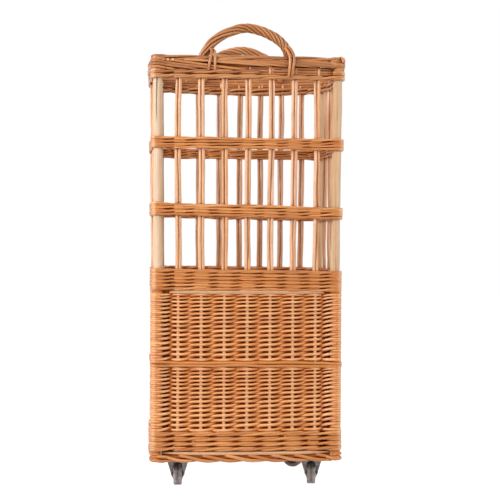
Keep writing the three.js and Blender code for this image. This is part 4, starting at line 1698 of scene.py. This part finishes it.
def joined(name: str, things: Sequence[Thing], place: Optional[Triple] = None) -> Thing:
    """Join objects into one.

    Args:
        name: The joined object's name.
        things: The objects.
        place: Where its own middle goes, in millimetres, or nowhere else.

    Returns:
        The joined object.
    """
    pick(things[0])
    for thing in things:
        thing.select_set(True)
    if len(things) > 1:
        bpy.ops.object.join()
    things[0].name = name
    things[0].data.name = name
    if place is not None:
        things[0].data.transform(Matrix.Translation(Vector(place) * MM))
    return things[0]


@dataclass
class Board:
    """A plywood floor with eased edges that show between two courses of the weave."""

    plan: Plan
    finish: Material
    name: str
    node: str
    bottom: float
    thickness: float = 7.0 * MM
    reach: float = 7.2 * MM
    ends: float = 20.0 * MM
    ease: float = 1.8 * MM
    points: int = 15
    end_reach: float = -2 * MM
    end_length: float = 4 * MM
    end_step: float = 1.2 * MM
    thin_from: float = 17 * MM
    thin_room: float = 20 * MM
    thinnest: float = 0.35

    def build(self) -> None:
        """Cut the outline, thicken it, ease its edges and thin it near the posts."""
        corners: List[Triple] = []
        for wall in self.plan.walls:
            distance = np.linspace(self.ends, wall.span - self.ends, self.points)
            distance[[1, -2]] = self.ends + self.end_length, wall.span - self.ends - self.end_length
            reach = np.full(self.points, self.reach)
            reach[[0, -1]] = self.end_reach
            reach[[1, -2]] = self.reach - self.end_step
            corners.extend(self.plan.raised(wall.points(distance, reach), self.bottom).tolist())
        thing = slab(self.name, corners, (0.0, 0.0, self.thickness))
        ease(thing, self.ease, 3)
        self.thin(thing)
        thing.data.materials.append(self.finish)
        settle(thing, ROOT_BODY, Slot.BOARD, self.node)

    def thin(self, thing: Thing) -> None:
        """Draw the board's edge to a thinner end near each post.

        Args:
            thing: The board.
        """
        middle = self.bottom + self.thickness / 2
        posts = np.array([wall.post for wall in self.plan.walls])
        for vertex in thing.data.vertices:
            gap = np.min(np.linalg.norm(posts - np.array(vertex.co.xy), axis=1))
            share = unit((gap - self.thin_from) / self.thin_room)
            thin = self.thinnest + (1 - self.thinnest) * share ** 0.7
            vertex.co.z = middle + (vertex.co.z - middle) * thin


@dataclass
class Castors:
    """Four swivel castors of a plate, a pressed fork, a bolt, guards, a hub and a tyre, in millimetres."""

    steel: Material
    hub_finish: Material
    tyre_finish: Material
    inset_x: float = 141.0
    inset_y: float = 91.0
    trail: float = 20.0
    axle_height: float = 25.0
    steps: int = 48
    plate_half: float = 30.0
    plate_corner: float = 6.0
    screw_place: float = 22.0
    leg_inside: float = 10.5
    leg_sheet: float = 2.4
    leg_foot: float = 22.0
    leg_rise: float = 43.4
    leg_spread: float = 10.9
    leg_end: float = 9.0
    leg_cuts: Tuple[float, ...] = (30.0, 33.0, 37.0, 46.0, 56.0)
    toe_top: float = 21.5
    toe_out: float = 11.5
    toe_slope: float = 0.26
    lip_foot: Pair = (-9.0, 24.5)
    lip_run: Pair = (30.2, 39.0)
    lip_narrow: Pair = (33.0, 6.0)
    lip_forward: Pair = (38.0, 6.0)
    lip_inside: float = 9.6
    lip_least: float = 2.2
    lip_push: float = 1.1
    lip_sheet: float = 1.6
    arch_half: float = 9.0
    arch_foot: float = 50.0
    arch_rise: float = 6.0
    skirt_place: float = 20.4
    spokes: int = 6
    headings: Dict[str, float] = field(default_factory=lambda: {
        "front_left": 180.0, "front_right": 172.5, "back_left": 176.0, "back_right": -117.0,
    })

    @property
    def axle_place(self) -> Triple:
        """The middle of the wheel, under a castor whose wheel trails towards the front."""
        return (0.0, -self.trail, self.axle_height)

    def build(self) -> None:
        """Model each piece once and set a copy under every corner."""
        kinds = [
            ("plate", ROOT_BODY, Slot.STEEL, self.steel, self.plate()),
            ("fork", "swivel_{}", Slot.STEEL, self.steel, self.fork()),
            ("axle", "swivel_{}", Slot.STEEL, self.steel, self.axle()),
            ("guard", "swivel_{}", Slot.HUB, self.hub_finish, self.guard()),
            ("hub", "wheel_{}", Slot.HUB, self.hub_finish, self.hub()),
            ("tyre", "wheel_{}", Slot.TYRE, self.tyre_finish, self.tyre()),
        ]
        for kind, body, slot, finish, model in kinds:
            model.data.materials.clear()
            model.data.materials.append(finish)
            for corner, heading in self.headings.items():
                angle = 0.0 if kind == "plate" else math.radians(heading)
                x = self.inset_x if "right" in corner else -self.inset_x
                y = self.inset_y if "back" in corner else -self.inset_y
                mesh = model.data.copy()
                mesh.transform(Matrix.Translation((x * MM, y * MM, 0.0)) @ Matrix.Rotation(angle, 4, "Z"))
                thing = bpy.data.objects.new(f"{kind}_{corner}", mesh)
                mesh.name = thing.name
                bpy.context.scene.collection.objects.link(thing)
                nodes = () if kind == "guard" else (f"castor_{corner}_{kind}",)
                settle(thing, body.format(corner), slot, *nodes)
            bpy.data.objects.remove(model)

    def plate(self) -> Thing:
        """Model the fixing plate with its race, kingpin head and four screws.

        Returns:
            The plate.
        """
        half = self.plate_half
        plate = block("plate", (-half, -half, 74.2), (half, half, 76.7))
        pick(plate)
        bpy.ops.object.mode_set(mode="EDIT")
        bpy.ops.mesh.select_all(action="DESELECT")
        bpy.ops.object.mode_set(mode="OBJECT")
        for edge in plate.data.edges:
            ends = [plate.data.vertices[index].co for index in edge.vertices]
            edge.select = abs(ends[0].z - ends[1].z) > MM
        bpy.ops.object.mode_set(mode="EDIT")
        bpy.ops.mesh.bevel(offset=self.plate_corner * MM, segments=6)
        bpy.ops.object.mode_set(mode="OBJECT")
        ease(plate, 0.5 * MM, 2)
        race = turned("race", [
            (0, 74.6), (17.6, 74.6), (17.6, 74.0), (16.8, 73.4), (17.0, 72.2), (16.2, 70.9), (14.6, 70.25),
            (0, 70.25),
        ], self.steps)
        pin = turned("pin", [
            (0, 71.0), (4.4, 71.0), (4.4, 63.1), (7.5, 63.1), (7.5, 61.6), (6.6, 60.5), (4.6, 60.15),
            (4.0, 61.0), (0, 61.2),
        ], 24)
        things = [plate, race, pin]
        for x in (-self.screw_place, self.screw_place):
            for y in (-self.screw_place, self.screw_place):
                screw = turned("screw", [
                    (0, 74.5), (4.4, 74.5), (4.4, 73.9), (3.9, 72.9), (2.7, 72.2), (1.7, 72.05), (1.2, 73.3),
                    (0, 73.5),
                ], 16)
                screw.data.transform(Matrix.Translation((x * MM, y * MM, 0.0)))
                things.append(screw)
        return joined("plate", things)

    def splay(self, height: float) -> float:
        """Return how far out a leg of the fork has spread at a height."""
        return self.leg_spread * unit((height - self.leg_foot) / self.leg_rise)

    def fork(self) -> Thing:
        """Press the fork: a domed crown, two tapered legs with turned lips, and a skirt.

        Returns:
            The fork.
        """
        pieces = []
        for side in (-1, 1):
            pieces += [self.leg(side), self.lip(side)]
        crown = block("crown", (-23.8, -21.8, 63.4), (23.8, 21.8, 65.9))
        ease(crown, 0.8 * MM, 3)
        dome = turned("dome", [
            (4.9, 63.6), (4.9, 69.85), (14.2, 69.85), (15.6, 69.3), (18.2, 67.0), (19.8, 65.6), (19.8, 63.6),
            (4.9, 63.6),
        ], self.steps)
        return joined("fork", [*pieces, crown, dome, self.skirt()])

    def leg(self, side: int) -> Thing:
        """Press one leg of the fork.

        Args:
            side: The leg's side, -1 or 1.

        Returns:
            The leg.
        """
        _, y, z = self.axle_place
        turns = np.radians(np.linspace(180, 322, 12))
        arc = [(y + self.leg_end * math.cos(a), z + self.leg_end * math.sin(a)) for a in turns]
        outline = [(21.5, 65.4), (-21.5, 65.4), (-24.8, 50.0), *arc, (8.0, 44.0), (19.5, 58.0)]
        flat = [(side * self.leg_inside * MM, y * MM, z * MM) for y, z in outline]
        cuts = [height * MM for height in self.leg_cuts]
        leg = slab("leg", flat, (side * self.leg_sheet * MM, 0.0, 0.0), cuts)
        for vertex in leg.data.vertices:
            vertex.co.x += side * MM * self.splay(vertex.co.z / MM)
            if abs(vertex.co.x) > self.toe_out * MM:
                vertex.co.x -= side * self.toe_slope * max(0.0, self.toe_top * MM - vertex.co.z)
        return ease(leg, 0.45 * MM, 2)

    def lip(self, side: int) -> Thing:
        """Press the lip inwards along the leading edge of one leg, past the edge of the tyre at its top.

        Args:
            side: The leg's side, -1 or 1.

        Returns:
            The lip.
        """
        points = []
        for share in np.linspace(0.0, 1.0, 7):
            y, z = (foot + run * share for foot, run in zip(self.lip_foot, self.lip_run))
            outer = self.leg_inside + self.leg_sheet - 0.1 + self.splay(z)
            narrow = unit((self.lip_narrow[0] - z) / self.lip_narrow[1])
            forward = unit((z - self.lip_forward[0]) / self.lip_forward[1])
            room = outer - self.lip_least - self.lip_inside
            inner = self.lip_inside + room * narrow - self.lip_push * forward
            points += [(side * outer * MM, y * MM, z * MM), (side * inner * MM, y * MM, z * MM)]
        faces = [(i, i + 1, i + 3, i + 2) for i in range(0, len(points) - 2, 2)]
        thing = take("lip", points, (), faces)
        bpy.ops.object.mode_set(mode="OBJECT")
        solid = thing.modifiers.new("thick", "SOLIDIFY")
        solid.thickness, solid.offset = self.lip_sheet * MM, 0.0
        bpy.ops.object.modifier_apply(modifier=solid.name)
        bpy.ops.object.mode_set(mode="EDIT")
        close()
        return ease(thing, 0.5 * MM, 2)

    def skirt(self) -> Thing:
        """Press the arched front of the fork, between its legs.

        Returns:
            The skirt.
        """
        turns = np.linspace(math.pi, 0.0, 13)
        arch = [(self.arch_half * math.cos(a), self.arch_foot + self.arch_rise * math.sin(a)) for a in turns]
        outline = [(-23.0, 65.0), (-18.4, self.arch_foot), *arch, (18.4, self.arch_foot), (23.0, 65.0)]
        flat = [(x * MM, self.skirt_place * MM, z * MM) for x, z in outline]
        return ease(slab("skirt", flat, (0.0, -self.lip_sheet * MM, 0.0)), 0.5 * MM, 2)

    def guard(self) -> Thing:
        """Turn the two dark discs that keep thread out of the axle; they also stand in for the shade between
        each leg and the tyre.

        Returns:
            The guard.
        """
        things = []
        for low, high in ((9.3, 10.35), (-10.35, -9.3)):
            disc = [(3.2, low), (12.8, low), (13.4, (low + high) / 2), (12.8, high), (3.2, high), (3.2, low)]
            things.append(turned("guard", disc, self.steps, lying=True))
        return joined("guard", things, self.axle_place)

    def axle(self) -> Thing:
        """Turn the bolt with its hexagon head, washers and nut.

        Returns:
            The axle.
        """
        bolt = [(0, -14.7), (2.4, -14.7), (2.9, -14.2), (2.9, 13.8), (0, 13.8)]
        things = [turned("bolt", bolt, 20, lying=True)]
        for low, high in ((13.0, 13.6), (-13.6, -13.0)):
            washer = [(0, low), (5.0, low), (5.0, high), (0, high)]
            things.append(turned("washer", washer, 28, lying=True))
        for low, high in ((13.4, 14.4), (-14.4, -13.4)):
            head = [(0, low), (3.9, low), (4.2, low + 0.3), (4.2, high - 0.4), (3.7, high), (0, high)]
            things.append(turned("hexagon", head, 6, lying=True))
        return joined("axle", things, self.axle_place)

    def hub(self) -> Thing:
        """Mould the hub with its boss, web and ribs.

        Returns:
            The hub.
        """
        wall = [(3.3, 8.0), (5.9, 8.0), (6.5, 7.4), (6.5, 3.4), (7.3, 2.4), (13.0, 2.4), (14.0, 3.4),
                (14.0, 7.0), (14.5, 7.6), (16.8, 7.6)]
        profile = [(radius, -height) for radius, height in wall] + wall[::-1] + [(3.3, -8.0)]
        things = [turned("hub", profile, self.steps, lying=True)]
        for spoke in range(self.spokes):
            rib = block("rib", (-6.6, -0.8, 6.2), (6.6, 0.8, 14.3))
            ease(rib, 0.3 * MM, 2)
            rib.data.transform(Matrix.Rotation(2 * math.pi * (spoke + 0.5) / self.spokes, 4, "X"))
            things.append(rib)
        return joined("hub", things, self.axle_place)

    def tyre(self) -> Thing:
        """Mould the tyre with a crowned tread, a mould line, lipped walls and a darker band round the middle
        of the tread.

        Returns:
            The tyre.
        """
        half = [(17.0, 8.6), (18.6, 9.0), (21.8, 9.0), (23.5, 8.4), (24.5, 7.2), (25.0, 5.0), (24.95, 2.6),
                (24.7, 1.0), (24.3, 0.4)]
        profile = half + [(radius, -height) for radius, height in reversed(half)] + half[:1]
        thing = turned("tyre", profile, self.steps, lying=True)
        across = np.array([vertex.co.x for vertex in thing.data.vertices]) / (2.6 * MM)
        mark(thing.data, "streak", 0.6 * np.exp(-across ** 2))
        return joined("tyre", [thing], self.axle_place)


@dataclass
class Studio:
    """The floor, the soft lamps, the white surround and the camera."""

    focal: float = 1065.6
    image: float = 500.0
    sensor: float = 36.0
    eye: Triple = (-0.1469, -2.3289, 0.5226)
    yaw: float = 3.98
    pitch: float = 0.627
    roll: float = 0.306
    aim: Triple = (0.0, 0.0, 0.48)
    floor_size: float = 14.0
    floor_height: float = -0.0002
    floor_glow: float = 1.36
    floor_share: float = 0.72
    surround: float = 0.32
    lamps: Tuple[Tuple[str, Triple, float, float], ...] = (
        ("key", (-2.3, -1.3, 1.7), 1.0, 64.0),
        ("fill", (2.3, -1.1, 1.4), 1.0, 29.0),
        ("front", (-0.5, -3.0, 2.2), 1.6, 18.0),
        ("back", (0.6, 2.4, 2.2), 1.6, 14.0),
    )

    def build(self) -> None:
        """Set up everything that isn't the basket."""
        self.floor()
        self.world()
        for lamp in self.lamps:
            self.lamp(*lamp)
        self.camera()
        bpy.context.scene.view_settings.view_transform = "Standard"

    def floor(self) -> None:
        """Lay a pale floor that keeps the shadow."""
        bpy.ops.mesh.primitive_plane_add(size=self.floor_size, location=(0.0, 0.0, self.floor_height))
        floor = bpy.context.active_object
        floor.name = "studio_floor"
        tree = Tree.material("floor_paper")
        tree.nodes.remove(tree.shader)
        diffuse = tree.add("BsdfDiffuse", {"Color": (0.9, 0.9, 0.9)}).outputs[0]
        glow = tree.add("Emission", {"Color": WHITE, "Strength": self.floor_glow}).outputs[0]
        share = tree.maths("MULTIPLY", self.seen(tree), self.floor_share)
        mixed = tree.add("MixShader", {0: share, 1: diffuse, 2: glow}).outputs[0]
        tree.feed(tree.nodes["Material Output"].inputs[0], mixed)
        floor.data.materials.append(tree.owner)

    def seen(self, tree: Tree) -> Socket:
        """Find which rays see a surface as the eye does.

        Args:
            tree: The nodes of a material or world.

        Returns:
            1 for rays that the camera, a gloss or a clear material sends, and 0 for the rest.
        """
        path = tree.add("LightPath").outputs
        some = tree.maths("MAXIMUM", path["Is Camera Ray"], path["Is Glossy Ray"])
        return tree.maths("MAXIMUM", some, path["Is Transmission Ray"])

    def world(self) -> None:
        """Give a white surround to the eye and a softer light to the basket."""
        tree = Tree(bpy.data.worlds.new("studio_surround"))
        bpy.context.scene.world = tree.owner
        ground = tree.nodes["Background"]
        level = tree.add("MapRange", {0: self.seen(tree), 3: self.surround, 4: 1.0})
        tree.feed(ground.inputs[0], WHITE)
        tree.feed(ground.inputs[1], level.outputs[0])

    def lamp(self, name: str, place: Triple, size: float, power: float) -> None:
        """Add one soft lamp that faces the basket.

        Args:
            name: The lamp's name.
            place: Where it hangs.
            size: The side of its square.
            power: Its power in watts.
        """
        light = bpy.data.lights.new(name, "AREA")
        light.size, light.energy = size, power
        lamp = bpy.data.objects.new(name, light)
        lamp.location = place
        lamp.rotation_euler = (Vector(self.aim) - Vector(place)).to_track_quat("-Z", "Y").to_euler()
        bpy.context.scene.collection.objects.link(lamp)

    def camera(self) -> None:
        """Stand the camera where the photograph was taken."""
        data = bpy.data.cameras.new("photo_camera")
        data.sensor_width = self.sensor
        data.lens = self.focal / self.image * self.sensor
        camera = bpy.data.objects.new("photo_camera", data)
        camera.location = self.eye
        heading = Matrix.Rotation(-math.radians(self.yaw), 3, "Z")
        nod = Matrix.Rotation(math.pi / 2 - math.radians(self.pitch), 3, "X")
        roll = Matrix.Rotation(math.radians(self.roll), 3, "Z")
        camera.rotation_euler = (heading @ nod @ roll).to_euler()
        bpy.context.scene.collection.objects.link(camera)
        bpy.context.scene.camera = camera


def willow_finishes() -> Tuple[Material, Material, Material, Material]:
    """Make the willow of each part of the basket.

    Returns:
        The materials of the sidings, the waling, the border and the stakes.
    """
    weave = WillowFinish("willow_rods", (
        (0.42, 0.114, 0.021), (0.57, 0.184, 0.040), (0.70, 0.263, 0.068), (0.82, 0.362, 0.115),
        (0.92, 0.495, 0.21),
    ))
    # The waling's painted shade in crevices is lighter than the sidings'.
    wale = WillowFinish("willow_waling_rods", (
        (0.36, 0.096, 0.017), (0.48, 0.157, 0.032), (0.60, 0.227, 0.055), (0.70, 0.305, 0.090),
        (0.81, 0.42, 0.16),
    ), depth=(0.52, 0.22, 0.07), painted_half_shade=(0.86, 0.70, 0.54))
    border = WillowFinish("willow_border_rods", (
        (0.23, 0.070, 0.016), (0.34, 0.120, 0.031), (0.46, 0.180, 0.052), (0.58, 0.255, 0.085),
        (0.72, 0.36, 0.145),
    ))
    stake = WillowFinish("willow_stakes", (
        (0.53, 0.24, 0.105), (0.64, 0.32, 0.150), (0.74, 0.41, 0.215), (0.82, 0.50, 0.29),
    ), crest=(0.84, 0.42, 0.165))
    return weave.build(), wale.build(), border.build(), stake.build()


def main() -> None:
    """Build the basket, piece by piece, and the studio round it."""
    plan = Plan()
    weave, wale, border, stake = willow_finishes()
    ply = PlywoodFinish().build()
    # A brighter copy of the plywood for the base board: painted light against the shade that the weave above
    # casts on its edge.
    pale = PlywoodFinish("pale_birch_ply", (0.68, 0.38, 0.20), (0.77, 0.46, 0.265), (0.47, 0.225, 0.107))
    closing = (75.4, 81.0, 126.0, 252.5, 258.5, 264.5, 270.5, 403.0, 408.8, 414.2)
    band = {"fullness": 1.6, "twist": 0.75, "loose": 1.0 * MM}
    # A little painted shade on the linings behind the bands and the shoulder.
    lining = {"rod": 3.6 * MM, "reach": -6.2 * MM, "shade": 0.1}
    shoulder_tilt, lower_tilt, upper_tilt = -0.010, -0.020, -0.004
    shoulder_levels = (418.0, 424.0, 430.0, 436.0, 442.0, 448.0, 453.0)
    pieces = [
        Posts(plan, PeeledFinish().build()),
        Stakes(plan, stake),
        Board(plan, pale.build(), "base_ply", "base_board", 77.0 * MM, ends=7.0 * MM),
        Board(plan, ply, "bread_floor_ply", "bread_floor", 408.2 * MM),
        PostWraps(plan, weave, 310),
        FootBorder(plan, wale),
        Wale(plan, wale, "upsett_waling", "upsett_wale", 84.6 * MM, 125.3 * MM, 4, 301, SINGLE_GRIP, stubs=26,
             painted_shade=0.9),
        Siding(plan, weave, "lower_randing", "lower_siding", 125.3 * MM, 256.6 * MM, 302),
        Hoops(plan, wale, "waist_rods", (260.6, 266.6), 303, 3.2 * MM, 5.3 * MM, 13.0 * MM, 1.1 * MM,
              -0.006, 0.1),
        Siding(plan, weave, "upper_randing", "upper_siding", 270.4 * MM, 407.9 * MM, 304),
        # Heavy painted shade on the closing rods behind the sidings' edges, so the gaps there show dark.
        Hoops(plan, weave, "closing_rods", closing, 308, 3.3 * MM, -5.4 * MM, shade=0.9),
        Wale(plan, wale, "shoulder_waling", "shoulder_wale", 414.4 * MM, 457.6 * MM, 6, 305,
             tilt=shoulder_tilt, fullness=1.38, twist=0.78, loose=0.6 * MM),
        Wale(plan, wale, "lower_band_waling", "lower_band", 566.3 * MM, 590.9 * MM, 4, 306,
             tilt=lower_tilt, **band),
        Wale(plan, wale, "upper_band_waling", "upper_band", 706.3 * MM, 728.9 * MM, 4, 307,
             tilt=upper_tilt, **band),
        Hoops(plan, wale, "shoulder_lining", shoulder_levels, 311, tilt=shoulder_tilt, **lining),
        Hoops(plan, wale, "lower_band_lining", (571.0, 578.6, 586.2), 312, tilt=lower_tilt, **lining),
        Hoops(plan, wale, "upper_band_lining", (711.0, 717.6, 724.2), 313, tilt=upper_tilt, **lining),
        Rim(plan, border),
        Handle(plan, border, "front_handle", 1, 501),
        Handle(plan, border, "back_handle", -1, 502),
        Castors(
            SteelFinish().build(),
            MouldedFinish("hub_plastic", (0.045, 0.040, 0.038), (0.10, 0.092, 0.086)).build(),
            MouldedFinish("tyre_rubber", (0.30, 0.262, 0.248), (0.50, 0.455, 0.44)).build(),
        ),
        Studio(),
    ]
    for piece in pieces:
        piece.build()


if __name__ == "__main__":
    main()
